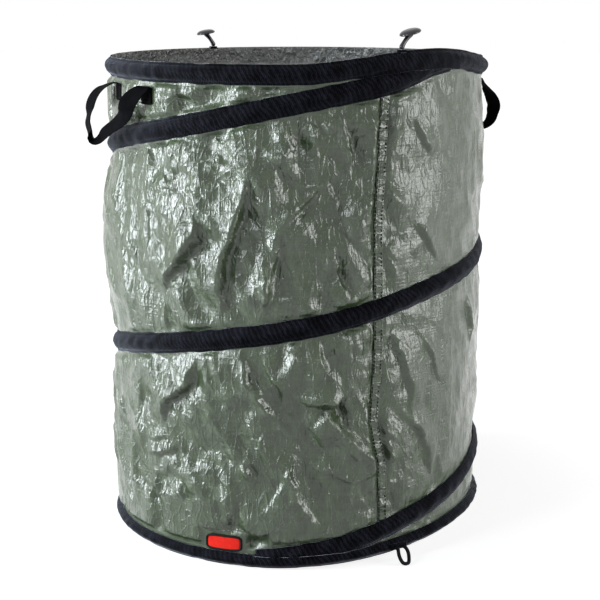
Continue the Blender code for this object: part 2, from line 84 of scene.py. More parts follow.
# Hoops, and the spring wire's course between them: degrees turned, thousandths of the height
RIM_HEIGHT, RIM_LIFT, RIM_LIFT_BEARING, RIM_LIFT_SPREAD = 0.553, 0.0145, 312.0, 45.0
BASE_HEIGHT, BASE_LIFT, BASE_LIFT_BEARING, BASE_LIFT_SPREAD = 0.008, 0.022, 350.0, 95.0
WIRE_DIAMETER, WIRE_OUT, WIRE_PITCH = 0.0032, 0.0030, 0.0038
LEAVE_RIM_BEARING, LEAVE_SPAN, OVERLAP = 324.0, 30.0, 12.0
COURSE = np.array((
    (0, 1000), (29, 976), (55, 943), (88, 895), (118, 857), (228, 716), (337, 576), (371, 544), (399, 508),
    (432, 471), (483, 406), (590, 256), (693, 108), (716, 74), (738, 49), (762, 20), (786, 0),
)) / (1.0, 1000.0)
LAST_TURN = COURSE[-1, 0]

# Tapes: half the height of each, and how far its crown stands out
TAPE_THICKNESS = 0.0008
RIM_TAPE, HELIX_TAPE, BASE_TAPE = (0.011, 0.0062), (0.012, 0.0052), (0.0075, 0.0059)
WIRE_ROOM = 0.004
LEAST_TAPE = 0.004
HEM_TUCK = 0.0012
FLAT_EDGE = 0.86

# The wall's share of its height when the bag is pressed flat, and how far the rim comes down
KEPT_SHARE, PRESSED = 0.195, 0.453

# Grid and limits of the cloth: rows, columns over the front and the back, the lining's place, the base's
# radius, how high the relief of the back may stand before it is cut down, and a distance beyond all others
WALL_ROWS, FRONT_COLUMNS, BACK_COLUMNS = 232, 300, 120
LINING_INSET = 0.0011
CLOTH_RADIUS = 0.219
BACK_CREST = 0.008
FAR = 9.0

# Handles, toggles, loops and label
WEBBING_WIDTH, WEBBING_THICKNESS, TAIL_LENGTH = 0.020, 0.0015, 0.019
HANDLE_HEIGHT = RIM_HEIGHT - RIM_TAPE[0] - 0.0055
HANDLE_HALF_ANGLE = 9.0
LEFT_HANDLE, RIGHT_HANDLE = 212.5, 12.5
TAILS = [handle + way * HANDLE_HALF_ANGLE for handle in (LEFT_HANDLE, RIGHT_HANDLE) for way in (1.0, -1.0)]
TOGGLES = {"front": (301.0, 0.0110, -16.0), "back": (120.0, 0.0105, 10.0)}  # bearing, lean, tilt
SADDLE_WIDTH, SADDLE_THICKNESS, SADDLE_LEG = 0.010, 0.0010, 0.0024
STEM_DIAMETER, STEM_RISE, STEM_CURVE = 0.0058, 0.0138, 1.25
HEAD_DIAMETER, HEAD_THICKNESS = 0.024, 0.0052
CORD_DIAMETER, LOOP_WIDTH, LOOP_REACH, LOOP_CLEARANCE = 0.0042, 0.0185, 0.0175, 0.0003
TAB_WIDTH, TAB_HEIGHT, TAB_THICKNESS = 0.022, 0.0074, 0.0012
LABEL_BEARING, LABEL_SIZE, LABEL_LIFT, LABEL_TILT = 248.1, (0.0445, 0.0180), 0.0012, -1.5

# The section of a toggle's head, in thousandths of its radius and thickness
HEAD_PROFILE = np.array((
    (0, 985), (120, 990), (300, 975), (500, 920), (680, 820), (820, 670), (920, 500), (980, 340),
    (1000, 220), (990, 100), (950, 20), (880, 0), (780, 30), (600, 90), (420, 100), (320, 20), (270, -100),
    (0, -100),
)) / 1000.0

# The webbing's course through each handle: a point on its middle line in tenths of a millimetre, and the
# way of its width there in hundredths
STATION_UNITS = (1e4, 1e4, 1e4, 100.0, 100.0, 100.0)
LEFT_COURSE = np.array((
    (-1669, -1477, 5365, 66, -75, -1), (-1719, -1500, 5330, 75, -64, -18),
    (-1810, -1490, 5250, 82, -51, -28), (-1871, -1455, 5162, 91, -39, -17),
    (-1902, -1410, 5081, 82, -57, -5), (-1948, -1340, 5003, 63, -76, -16),
    (-2037, -1250, 4924, 47, -86, -21), (-2138, -1160, 4843, 44, -87, -22),
    (-2234, -1070, 4766, 47, -87, -14), (-2308, -1000, 4738, 45, -89, 5), (-2351, -940, 4773, 37, -90, 23),
    (-2374, -900, 4838, 36, -91, 19), (-2395, -860, 4920, 40, -90, 19), (-2381, -840, 5007, 39, -90, 19),
    (-2370, -830, 5092, 60, -79, 12), (-2336, -830, 5184, 57, -82, -6), (-2275, -840, 5264, 45, -89, -12),
    (-2196, -855, 5320, 34, -94, -1), (-2115, -870, 5357, 36, -93, 5), (-2043, -889, 5365, 40, -92, 0),
)) / STATION_UNITS
RIGHT_COURSE = np.array((
    (2073, 817, 5365, 37, -93, 0), (2119, 835, 5210, 34, -94, 3), (2172, 830, 5048, 28, -96, 8),
    (2223, 780, 4896, 20, -98, 5), (2279, 700, 4803, 15, -99, -2), (2324, 615, 4772, 15, -99, -7),
    (2366, 520, 4809, 27, -96, -7), (2394, 440, 4864, 40, -92, 1), (2406, 375, 4930, 47, -87, 14),
    (2412, 320, 5008, 59, -79, 17), (2391, 265, 5085, 57, -78, 24), (2352, 220, 5160, 38, -88, 29),
    (2305, 175, 5228, 19, -93, 20), (2262, 150, 5290, 10, -99, 5), (2225, 136, 5363, 6, -100, 0),
)) / STATION_UNITS

# How the slack cloth bulges between the tapes: bearing, then upper, middle and lower band in tenths of a
# millimetre
BULGE = np.array((
    (0, 30, 35, 45), (60, 40, 50, 40), (120, 45, 60, 40), (180, 60, 105, 35), (200, 60, 100, 35),
    (235, 40, 60, 40), (270, 30, 45, 50), (300, 20, 30, 40), (330, 15, 25, 40), (360, 30, 35, 45),
)) / (1.0, 10000.0, 10000.0, 10000.0)

# How crumpled the cloth is: bearing, percent
SLACK = np.array((
    (0, 55), (60, 80), (120, 92), (180, 80), (200, 78), (222, 100), (250, 100), (276, 100), (292, 80),
    (310, 42), (335, 30), (360, 55),
)) / (1.0, 100.0)

# Where the seam wanders from its straight line: height in millimetres, tenths of a degree
SEAM_WANDER = np.array((
    (0, 9), (50, 9), (99, 7), (121, 3), (145, -11), (169, -24), (194, -20), (228, -13), (262, -10),
    (307, -11), (352, -14), (393, -15), (429, -10), (461, -5), (494, -3), (528, 4), (580, 4),
)) / (1000.0, 10.0)

# The larger folds of the cloth, and how much deeper than listed they are. Each has 1 where it drops to the
# right or below and -1 where it climbs there, then its height, face width and run-out in millimetres, and
# the line of its steep face as bearings and heights in millimetres
FOLD_DEPTH = 1.6
FOLDS = (
    (1, 6, 9, 40, 223.5, 532, 232.8, 528, 239.9, 523, 243.2, 519),
    (1, 2.5, 4, 20, 229.6, 481, 233.8, 455),
    (1, 2, 2.5, 18, 221.1, 471, 225.6, 446),
    (1, 2.5, 4, 20, 228.3, 448, 231.3, 430, 234.1, 423, 236.4, 421),
    (1, 2, 3, 20, 220.5, 416, 228, 401, 233.9, 392),
    (1, 11, 11, 45, 239.8, 412, 242.1, 392, 241.7, 370, 238.2, 354, 234.2, 338, 231, 323, 228, 303),
    (1, 3, 3, 20, 229.9, 300, 229.1, 264),
    (1, 9, 8, 40, 259.9, 466, 257.3, 440, 256.1, 412, 253.2, 389, 251, 362, 249.7, 340, 248.9, 319, 249.3,
     307, 247.6, 277),
    (-1, 3.5, 5, 25, 257.3, 341, 259.1, 329, 260.5, 318, 261.5, 293),
    (1, 6, 10, 35, 268.1, 400, 264.5, 366, 262.8, 328, 261.9, 287),
    (1, 7, 9, 35, 254.9, 254, 257.8, 213, 263.2, 185, 267.6, 166),
    (-1, 3, 3, 20, 259.7, 253, 262.9, 224, 266.9, 192, 268.6, 169),
    (1, 8, 7, 40, 240.4, 246, 239.5, 228, 237.1, 202, 230.9, 186, 228.5, 169, 226.7, 146),
    (1, 2.5, 4, 15, 227.1, 212, 228, 185),
    (1, 2, 3, 15, 217.7, 194, 216.5, 160),
    (1, 3, 4, 15, 203.1, 171, 204, 137),
    (1, 3, 4, 18, 219.8, 132, 229.8, 140),
    (1, 4, 5, 22, 218.8, 111, 231.4, 126, 234.2, 140),
    (1, 4, 6, 18, 220.6, 74, 221.7, 53),
    (1, 3, 4, 15, 224.6, 101, 224.2, 57),
    (1, 4, 6, 18, 227.9, 83, 229.8, 49),
    (1, 3, 4, 15, 234.1, 92, 234.9, 65),
    (-1, 3, 3, 15, 261, 163, 258, 136, 256.9, 130),
    (1, 5, 6, 22, 254.9, 122, 257, 105),
    (-1, 3, 4, 20, 270.1, 135, 266.3, 104, 262.4, 73),
    (1, 5, 10, 30, 255.6, 33, 262.5, 45, 270.8, 61),
    (1, 2, 3, 14, 239.7, 72, 240.3, 22),
    (1, 2, 3, 14, 251.8, 79, 251.7, 47),
    (1, 6, 9, 35, 282.5, 514, 284.9, 486, 286.2, 465, 285.5, 442),
    (-1, 4, 5, 25, 304.1, 507, 307.8, 486, 312.5, 460),
    (-1, 4, 4.5, 25, 305.8, 392, 310.2, 369, 315.8, 339),
    (1, 3, 4, 20, 278.7, 452, 279.1, 438, 281.9, 420, 282.3, 389),
    (1, 4, 4, 25, 280, 377, 281.7, 348, 283.6, 324, 285.3, 300),
    (1, 5, 7, 30, 278.7, 438, 273.3, 419, 267.9, 401, 265.6, 386),
    (-1, 5, 5, 28, 299.3, 283, 300.8, 251, 303.6, 221, 306.3, 195, 305.3, 171),
    (-1, 2, 3, 12, 308.5, 200, 307.7, 181),
    (-1, 5, 5, 28, 303.2, 181, 304.3, 166, 308.1, 152, 311.8, 124, 313.1, 101, 316.2, 76),
    (-1, 3, 4, 22, 306.9, 268, 313.4, 231, 319, 192),
    (-1, 3.5, 4, 20, 295.6, 165, 302.9, 138),
    (1, 5, 8, 28, 276.5, 271, 276.9, 246, 278.5, 233, 275.3, 214, 274.2, 205),
    (1, 3, 5, 18, 285, 275, 285.4, 261, 286.7, 241),
    (1, 9, 15, 40, 267.8, 204, 274.2, 194, 279.4, 189, 283.1, 168, 289.8, 144, 295.3, 121),
    (-1, 4, 4, 20, 284.8, 143, 287.7, 124),
    (-1, 3, 4, 20, 271.8, 175, 274.2, 163, 278.3, 139),
    (1, 3, 3.5, 25, 273, 125, 286.6, 99, 290, 74, 294.1, 45),
    (1, 3.5, 5, 20, 270.8, 153, 268.8, 118, 272, 77, 277.5, 47),
    (-1, 3, 4, 14, 293.9, 116, 294.5, 62),
    (1, 6, 8, 32, 20, 410, 24.5, 372, 25.5, 335, 30, 300),
    (-1, 4.5, 6, 28, 41, 330, 46, 296, 47.5, 262),
    (1, 7, 9, 36, 62, 520, 66.5, 488, 68, 452, 73, 418),
    (-1, 5, 7, 30, 81, 396, 84.5, 350, 90, 318),
    (1, 8, 9, 38, 98, 330, 103.5, 292, 104.5, 250, 109, 214),
    (-1, 6, 8, 34, 112, 500, 117, 468, 118.5, 436, 124, 402),
    (1, 5, 7, 30, 128, 276, 131, 236, 136.5, 204),
    (-1, 7, 9, 36, 142, 382, 145, 340, 151, 306, 152, 270),
    (1, 5, 6, 28, 158, 236, 161.5, 200, 162.5, 164),
    (-1, 6, 8, 34, 171, 440, 174.5, 404, 180, 372, 181, 338),
    (1, 4.5, 6, 26, 76, 168, 79, 134, 84, 108),
    (-1, 4.5, 6, 26, 333, 292, 337, 258, 338.5, 226),
    (1, 5, 7, 30, 345, 470, 348.5, 434, 354, 404),
)


# Curves and shares


def clamp(value):
    """A share held between 0 and 1."""
    return np.clip(value, 0.0, 1.0)


def ramp(value, low, high):
    """A share that eases from 0 at the low value to 1 at the high one: 3s^2 - 2s^3."""
    share = clamp((value - low) / (high - low))
    return share * share * (3.0 - 2.0 * share)


def turn_between(bearing, centre):
    """Degrees from a centre to a bearing, from -180 to 180."""
    return (np.asarray(bearing) - centre + 180.0) % 360.0 - 180.0


def arc(bearing):
    """Metres round the wall for a bearing in degrees."""
    return WALL_RADIUS * np.radians(bearing)


def turned_by(metres):
    """Degrees round the wall for a length in metres."""
    return np.degrees(metres / WALL_RADIUS)


def swell(bearing, centre, spread, height):
    """Half a cosine wave round a centre, gone at the spread to either side."""
    off = np.abs(turn_between(bearing, centre))
    return np.where(off < spread, height * 0.5 * (1.0 + np.cos(np.pi * off / spread)), 0.0)


def rim_height(bearing):
    """Height of the middle of the rim hoop."""
    return RIM_HEIGHT + swell(bearing, RIM_LIFT_BEARING, RIM_LIFT_SPREAD, RIM_LIFT)


def base_rise(bearing):
    """How far the lower edge is lifted off the floor."""
    return swell(bearing, BASE_LIFT_BEARING, BASE_LIFT_SPREAD, BASE_LIFT)


def base_height(bearing):
    """Height of the middle of the base hoop."""
    return BASE_HEIGHT + base_rise(bearing)


def read_course(turned):
    """Share of the height along the wire's course: cubic pieces with harmonic-mean slopes."""
    at, level = COURSE.T
    steep = np.diff(level) / np.diff(at)
    middle = 2.0 * steep[:-1] * steep[1:] / (steep[:-1] + steep[1:])
    slope = np.concatenate([steep[:1], middle, steep[-1:]])
    index = np.clip(np.searchsorted(at, turned) - 1, 0, len(at) - 2)
    width = at[index + 1] - at[index]
    s = clamp((turned - at[index]) / width)
    return (
        level[index] * (1 + 2 * s) * (1 - s) ** 2 + level[index + 1] * s * s * (3 - 2 * s)
        + width * slope[index] * s * (1 - s) ** 2 - width * slope[index + 1] * s * s * (1 - s)
    )


def helix_height(turned):
    """Height of the wire on its way down, eased out of the rim hoop into its course."""
    bearing = LEAVE_RIM_BEARING - turned
    low = base_height(bearing) + WIRE_PITCH / 2.0
    course = low + read_course(turned) * (RIM_HEIGHT - low)
    hoop = rim_height(bearing) - WIRE_PITCH / 2.0
    return hoop + (course - hoop) * ramp(turned, 0.0, LEAVE_SPAN)


def wire_height(turned):
    """Height of the wire: in the hoops it drifts by one pitch over a full turn."""
    bearing = LEAVE_RIM_BEARING - turned
    sunk = lambda way: WIRE_PITCH * (0.5 - clamp((way - OVERLAP) / (360.0 - OVERLAP)))
    hoop = rim_height(bearing) + sunk(turned + 360.0 + OVERLAP)
    foot = base_height(bearing) + sunk(turned - LAST_TURN)
    return np.where(turned < 0.0, hoop, np.where(turned <= LAST_TURN, helix_height(turned), foot))


def place(bearing, radius, height):
    """Points from bearings, distances from the bag's axis and heights."""
    angle = np.radians(bearing)
    bearing, radius, height = np.broadcast_arrays(bearing, radius, height)
    return np.stack([radius * np.cos(angle), radius * np.sin(angle), height], -1)


def radial(bearing):
    """Unit vectors out of the bag."""
    return place(bearing, 1.0, 0.0)


def along(bearing):
    """Unit vectors round the bag, counter-clockwise."""
    return radial(bearing)[..., [1, 0, 2]] * (-1.0, 1.0, 1.0)


def upward(height):
    """A vector straight up."""
    return np.array([0.0, 0.0, height])


def unit(vectors):
    """Vectors of length 1."""
    return vectors / np.maximum(np.linalg.norm(vectors, axis=-1, keepdims=True), 1e-12)


def circle(count):
    """Angles once round, in radians, without the last."""
    return np.linspace(0.0, 2.0 * math.pi, count, endpoint=False)


def rounded(turn, powers, wide, tall):
    """A rounded rectangle: the cosine and the sine, each to a power below 1 with its sign kept."""
    for wave, power, half in ((np.cos(turn), powers[0], wide), (np.sin(turn), powers[1], tall)):
        yield np.sign(wave) * np.abs(wave) ** power * half


def walk(path):
    """How far along a path each of its points is."""
    return np.concatenate([[0.0], np.cumsum(np.linalg.norm(np.diff(path, axis=0), axis=1))])


def again(grid, further=0.0):
    """A grid with its first column once more at the end, further on."""
    return np.concatenate([grid, grid[:, :1] + further], 1)


# Chance, the same each run


def chance(i, j, seed):
    """A number from -1 to 1 for a pair of whole numbers: the fraction of a large sine."""
    mixed = np.sin(i * 127.1 + j * 311.7 + seed * 74.7) * 43758.5453
    return 2.0 * (mixed - np.floor(mixed)) - 1.0


def facets(u, v, size, seed, stretch=1.0, turn=0.0):
    """Chance heights on the corners of a triangle lattice, joined by flat faces."""
    c, s = math.cos(math.radians(turn)), math.sin(math.radians(turn))
    x, y = (u * c + v * s) / size, (v * c - u * s) / (size * stretch)
    p, q = x - y / math.sqrt(3.0), 2.0 * y / math.sqrt(3.0)
    i, j = np.floor(p), np.floor(q)
    f, g = p - i, q - j
    corner = [chance(i + a, j + b, seed) for a, b in ((0, 0), (1, 0), (0, 1), (1, 1))]
    near = corner[0] + f * (corner[1] - corner[0]) + g * (corner[2] - corner[0])
    far = corner[3] + (1 - f) * (corner[2] - corner[3]) + (1 - g) * (corner[1] - corner[3])
    return np.where(f + g < 1.0, near, far)


def drift(u, v, size, seed):
    """Smooth chance from about -1 to 1: the mean of five sine waves in different directions."""
    total = 0.0
    for number in range(5):
        turn = 1.3 * number + seed
        wave = (0.7 + 0.17 * number) * 2.0 * math.pi / size
        total = total + np.sin(wave * (u * math.cos(turn) + v * math.sin(turn)) + 2.1 * seed + number)
    return total / 2.6


# Meshes


def link(name, data):
    """An object of that name and data in the scene."""
    made = bpy.data.objects.new(name, data)
    bpy.context.scene.collection.objects.link(made)
    return made


def quads(name, points, faces, finish, uv=None, values=None, weld=0.0, outward=False):
    """A smooth mesh; weld joins the points within that distance, and outward turns the faces out."""
    mesh = bpy.data.meshes.new(name)
    mesh.from_pydata(points.reshape(-1, 3), [], faces.reshape(-1, 4).tolist())
    if uv is not None:
        mesh.uv_layers.new(name="UVMap").data.foreach_set("uv", uv.astype(np.float32).ravel())
    for key, value in (values or {}).items():
        kept = mesh.attributes.new(key, "FLOAT", "POINT")
        kept.data.foreach_set("value", np.asarray(value, np.float32).ravel())
    if weld:
        joined = bmesh.new()
        joined.from_mesh(mesh)
        bmesh.ops.remove_doubles(joined, verts=joined.verts, dist=weld)
        if outward:
            bmesh.ops.recalc_face_normals(joined, faces=joined.faces)
        joined.to_mesh(mesh)
        joined.free()
    mesh.shade_smooth()
    mesh.materials.append(bpy.data.materials[finish])
    return link(name, mesh)


def surface(name, points, finish, uv=None, weld=0.0, values=None, wrap=(False, True), outward=False):
    """Quads over a grid of points, rows by columns; wrap joins the last row or column to the first.

    Rows that run down and columns that run counter-clockwise give faces that point out. uv has one
    more row or column than the points where the grid wraps.
    """
    rows, columns = points.shape[:2]
    i, j = np.meshgrid(np.arange(rows - (not wrap[0])), np.arange(columns - (not wrap[1])), indexing="ij")
    down = np.stack([i, i + 1, i + 1, i], -1).reshape(-1, 4)
    across = np.stack([j, j, j + 1, j + 1], -1).reshape(-1, 4)
    faces = (down % rows) * columns + across % columns
    at_corners = None if uv is None else uv[down, across]
    return quads(name, points, faces, finish, at_corners, values, weld, outward)


def grid_uv(u, v):
    """A UV grid, in metres, from the distances along its rows and its columns."""
    return np.stack(np.broadcast_arrays(u, v), -1)


# Shader nodes


def add(tree, kind, values=None, **settings):
    """A shader node with its settings; values are numbers for its inputs, or outputs to link."""
    made = tree.nodes.new("ShaderNode" + kind)
    for key, value in settings.items():
        setattr(made, key, value)
    for key, value in (values or {}).items():
        if isinstance(value, bpy.types.NodeSocket):
            tree.links.new(value, made.inputs[key])
        else:
            made.inputs[key].default_value = value
    return made


def calc(tree, operation, first, second=0.0, third=0.0):
    """The output of a Math node."""
    return add(tree, "Math", {0: first, 1: second, 2: third}, operation=operation).outputs[0]


def scaled(tree, value, by, plus=0.0):
    """A value times another, plus a third."""
    return calc(tree, "MULTIPLY_ADD", value, by, plus)


def vector(tree, operation, first, second=(0.0, 0.0, 0.0), output="Vector"):
    """An output of a Vector Math node."""
    return add(tree, "VectorMath", {0: first, 1: second}, operation=operation).outputs[output]


def shade(tree, factor, dark, light, low=0.0, high=1.0):
    """A colour between two, by a factor between two levels."""
    made = add(tree, "ValToRGB", {"Fac": factor})
    for end, position, colour in zip(made.color_ramp.elements, (low, high), (dark, light)):
        end.position, end.color = position, (*colour, 1.0)
    return made.outputs["Color"]


def new_finish(name, colour, roughness, **sockets):
    """The node tree of a new material, whose Principled shader has these constants."""
    made = bpy.data.materials.new(name)
    made.use_nodes = True
    made.diffuse_color = (*colour, 1.0)
    inputs = made.node_tree.nodes["Principled BSDF"].inputs
    inputs["Base Color"].default_value = (*colour, 1.0)
    inputs["Roughness"].default_value = roughness
    for key, value in sockets.items():
        inputs[key.replace("_", " ").title().replace("Ior", "IOR")].default_value = value
    return made.node_tree


def plug(tree, **sockets):
    """Links outputs to inputs of the Principled shader, named with underscores."""
    inputs = tree.nodes["Principled BSDF"].inputs
    for key, value in sockets.items():
        tree.links.new(value, inputs[key.replace("_", " ")])


def stretched(tree, source, scale, turn=0.0):
    """Coordinates scaled, and turned about the first two axes' normal."""
    values = {"Vector": source, "Scale": scale, "Rotation": (0.0, 0.0, math.radians(turn))}
    return add(tree, "Mapping", values).outputs["Vector"]


def noise(tree, source, scale, detail=3.0, roughness=0.55, distortion=0.0, dimensions="2D"):
    """Noise in cells per metre of its coordinates."""
    values = {"Vector": source, "Scale": scale, "Detail": detail, "Roughness": roughness,
              "Distortion": distortion}
    return add(tree, "TexNoise", values, noise_dimensions=dimensions).outputs["Fac"]


def bands(tree, uv, scale, turn, squeeze=1.0, distortion=0.0, detail_scale=1.0):
    """Bands across the piece, turned by so many degrees."""
    values = {"Vector": stretched(tree, uv, (1.0, squeeze, 1.0), turn), "Scale": scale,
              "Distortion": distortion, "Detail": 1.0, "Detail Scale": detail_scale}
    return add(tree, "TexWave", values, wave_type="BANDS", bands_direction="X").outputs["Fac"]


def crossed(tree, uv, scale, turn):
    """Two crossing sets of strands."""
    return calc(tree, "MAXIMUM", *(bands(tree, uv, scale, way * turn) for way in (1.0, -1.0)))


def flat_weave(tree, uv, fine):
    """Flat tapes woven both ways, so many to the metre."""
    ways = ((14.0, fine, 1.0), (fine, 14.0, 1.0))
    return calc(tree, "ADD", *(noise(tree, stretched(tree, uv, way), 1.0, 1.0) for way in ways))


def bump(tree, height, distance, strength=1.0, under=None):
    """A bump of that depth in metres; under is the bump below it."""
    values = {"Height": height, "Distance": distance, "Strength": strength}
    if under is not None:
        values["Normal"] = under
    return add(tree, "Bump", values).outputs["Normal"]


def uv_of(tree):
    """The piece's own UV map, in metres."""
    return add(tree, "UVMap", uv_map="UVMap").outputs["UV"]


def value_of(tree, name):
    """A number kept at each point of the mesh."""
    return add(tree, "Attribute", attribute_name=name).outputs["Fac"]


def object_of(tree):
    """The object's own coordinates."""
    return add(tree, "TexCoord").outputs["Object"]


def cells(tree, where, scale, feature):
    """The outputs of a flat Voronoi texture."""
    values = {"Vector": where, "Scale": scale}
    return add(tree, "TexVoronoi", values, voronoi_dimensions="2D", feature=feature).outputs


def tilted_cells(tree, uv, scale, turn, stretch, warp):
    """Crumple of flat cells: each cell of chance shape has a chance slope and a raised edge."""
    values = {"Vector": uv, "Scale": 0.4 * scale, "Detail": 1.0}
    colour = add(tree, "TexNoise", values, noise_dimensions="2D").outputs["Color"]
    bent = vector(tree, "ADD", uv, vector(tree, "MULTIPLY", colour, (warp, warp, warp)))
    where = stretched(tree, bent, (1.0, stretch, 1.0), turn)
    cell = cells(tree, where, scale, "F1")
    off = vector(tree, "SUBTRACT", where, cell["Position"])
    slope = vector(tree, "SUBTRACT", cell["Color"], (0.5, 0.5, 0.5))
    edge = cells(tree, where, scale, "DISTANCE_TO_EDGE")["Distance"]
    ridge = calc(tree, "MAXIMUM", scaled(tree, edge, -8.0, 1.0))
    rise = vector(tree, "DOT_PRODUCT", off, slope, "Value")
    return scaled(tree, ridge, 0.10, scaled(tree, rise, scale))


# Finishes


def tarpaulin():
    """Coated woven tarpaulin: crumpled to facets, flat woven tapes 3 mm wide under a glossy film."""
    dark, light = (0.021, 0.038, 0.013), (0.052, 0.082, 0.036)
    tree = new_finish("tarpaulin_outside", light, 0.36, coat_weight=0.85, coat_roughness=0.08,
                      coat_ior=1.58, specular_ior_level=0.22)
    uv, slack = uv_of(tree), value_of(tree, "crumple")
    thread, grain = flat_weave(tree, uv, 330.0), noise(tree, uv, 420.0, 4.0, 0.6)
    crumpled = None
    for height, depth, by, plus in (
        (tilted_cells(tree, uv, 80.0, 26.0, 0.42, 0.0020), 0.0048, 0.75, 0.12),
        (tilted_cells(tree, uv, 150.0, -34.0, 0.45, 0.0012), 0.0028, 0.65, 0.22),
        (tilted_cells(tree, uv, 400.0, 48.0, 0.75, 0.0008), 0.0004, 0.9, 0.0),
        (grain, 0.0005, -0.5, 0.9),
    ):
        crumpled = bump(tree, height, depth, scaled(tree, slack, by, plus), crumpled)
    woven = bump(tree, thread, 0.0005, 0.7, crumpled)
    mottled = scaled(tree, thread, 0.25, scaled(tree, noise(tree, uv, 60.0, 2.0), 0.5))
    plug(tree, Normal=woven, Coat_Normal=woven, Roughness=scaled(tree, grain, 0.20, 0.24),
         Base_Color=shade(tree, mottled, dark, light, 0.30, 0.75))


def lining_finish():
    """The film inside: woven, painted paler for light shining through the film, and painted darker for the shade
    where a tape lies behind it.
    """
    tree = new_finish("tarpaulin_inside", (0.30, 0.31, 0.28), 0.35, coat_weight=0.8, coat_roughness=0.10)
    uv = uv_of(tree)
    thread = flat_weave(tree, uv, 400.0)
    # Painted light: the film's colour is made pale to stand in for light shining through the translucent film.
    pale = shade(tree, scaled(tree, thread, 0.5), (0.16, 0.17, 0.145), (0.32, 0.33, 0.29), 0.3, 0.7)
    # Painted shade: where a tape lies behind the film it turns dark, for the light that the tape blocks.
    values = {"Factor": value_of(tree, "taped"), "A": pale, "B": (0.06, 0.065, 0.06, 1.0)}
    mixed = add(tree, "Mix", values, data_type="RGBA").outputs["Result"]
    creased = bump(tree, tilted_cells(tree, uv, 110.0, 20.0, 0.6, 0.002), 0.0040, 0.8)
    creased = bump(tree, noise(tree, uv, 130.0, 4.0, 0.6, 0.4), 0.0045, 0.8, creased)
    woven = bump(tree, thread, 0.0003, 0.5, creased)
    plug(tree, Base_Color=mixed, Normal=woven, Coat_Normal=woven)


def tape_finish():
    """Black woven tape: fine ribs across it, a little skewed, and wavy bands of painted sheen in its colour."""
    tree = new_finish("black_tape_woven", (0.016, 0.016, 0.021), 0.6, specular_ior_level=0.02,
                      sheen_weight=1.0, sheen_roughness=0.28, sheen_tint=(0.82, 0.87, 1.0, 1.0))
    uv = uv_of(tree)
    # Painted sheen: wavy bands lighten the colour, standing in for the sheen that plays on the ribs.
    painted_sheen_bands, ribs = bands(tree, uv, 58.0, 20.0, 1.6, 5.0, 0.8), bands(tree, uv, 170.0, -24.0, 1.0, 0.6, 0.6)
    fuzz, wear = noise(tree, uv, 900.0), noise(tree, uv, 70.0)
    level = scaled(tree, wear, 0.45, scaled(tree, ribs, 0.18))
    level = scaled(tree, fuzz, 0.55, scaled(tree, painted_sheen_bands, 0.17, level))
    plug(tree, Base_Color=shade(tree, level, (0.0003, 0.0003, 0.0006), (0.020, 0.021, 0.031), 0.60, 0.95),
         Roughness=scaled(tree, ribs, 0.15, 0.5),
         Normal=bump(tree, fuzz, 0.0002, 0.5, bump(tree, ribs, 0.0003, 0.8)))


def webbing_finish():
    """Black webbing: a two-way weave of 1.6 mm threads, rubbed grey on its high points."""
    tree = new_finish("black_webbing_woven", (0.004, 0.004, 0.005), 0.65, specular_ior_level=0.02)
    uv = uv_of(tree)
    woven = crossed(tree, uv, 200.0, 35.0)
    level = scaled(tree, woven, noise(tree, uv, 120.0, 4.0))
    plug(tree, Base_Color=shade(tree, level, (0.0008, 0.0008, 0.001), (0.0045, 0.0045, 0.006), 0.1, 0.75),
         Normal=bump(tree, woven, 0.0003, 0.8))


def moulded_finish():
    """Glossy black moulded plastic with faint flow marks and a fine grit."""
    tree = new_finish("black_plastic_moulded", (0.010, 0.010, 0.013), 0.2, specular_ior_level=0.5)
    where = object_of(tree)
    flow = noise(tree, stretched(tree, where, (1.0, 1.0, 2.5)), 160.0, dimensions="3D")
    grit = noise(tree, where, 2600.0, 2.0, dimensions="3D")
    plug(tree, Base_Color=shade(tree, flow, (0.008, 0.008, 0.011), (0.016, 0.016, 0.020), 0.35, 0.7),
         Roughness=scaled(tree, flow, 0.22, 0.08), Normal=bump(tree, grit, 0.00006, 0.4))


def elastic_finish():
    """Braided cover of an elastic cord: two crossing sets of strands wound round it."""
    tree = new_finish("elastic_cord_braid", (0.006, 0.006, 0.007), 0.6, specular_ior_level=0.08)
    woven = crossed(tree, uv_of(tree), 300.0, 38.0)
    plug(tree, Base_Color=shade(tree, woven, (0.0015, 0.0015, 0.002), (0.011, 0.011, 0.014), 0.3, 1.0),
         Normal=bump(tree, woven, 0.0004, 0.8))


def paler(colour, by):
    """A colour made lighter by a factor."""
    return tuple(min(1.0, by * channel) for channel in colour)


def thread_finish(name, colour):
    """Polyester sewing thread: fine strands twisted along it."""
    tree = new_finish(name, colour, 0.6, specular_ior_level=0.12)
    where = stretched(tree, object_of(tree), (1.0, 1.0, 1.0), 30.0)
    twist = noise(tree, where, 2200.0, 2.0, dimensions="3D")
    plug(tree, Base_Color=shade(tree, twist, colour, paler(colour, 1.7), 0.4, 0.7),
         Normal=bump(tree, twist, 0.0002, 0.7))


def label_finish():
    """Plain red woven label cloth: fine ribs along it and a faint fade."""
    tree = new_finish("red_label_woven", (0.84, 0.028, 0.018), 0.7, specular_ior_level=0.05)
    uv = uv_of(tree)
    values = {"Vector": uv, "Scale": 330.0}
    ribs = add(tree, "TexWave", values, wave_type="BANDS", bands_direction="Y").outputs["Fac"]
    level = scaled(tree, ribs, 0.4, scaled(tree, noise(tree, uv, 150.0), 0.6))
    plug(tree, Base_Color=shade(tree, level, (0.74, 0.018, 0.012), (0.94, 0.040, 0.025), 0.25, 0.75),
         Normal=bump(tree, ribs, 0.0002, 0.6))


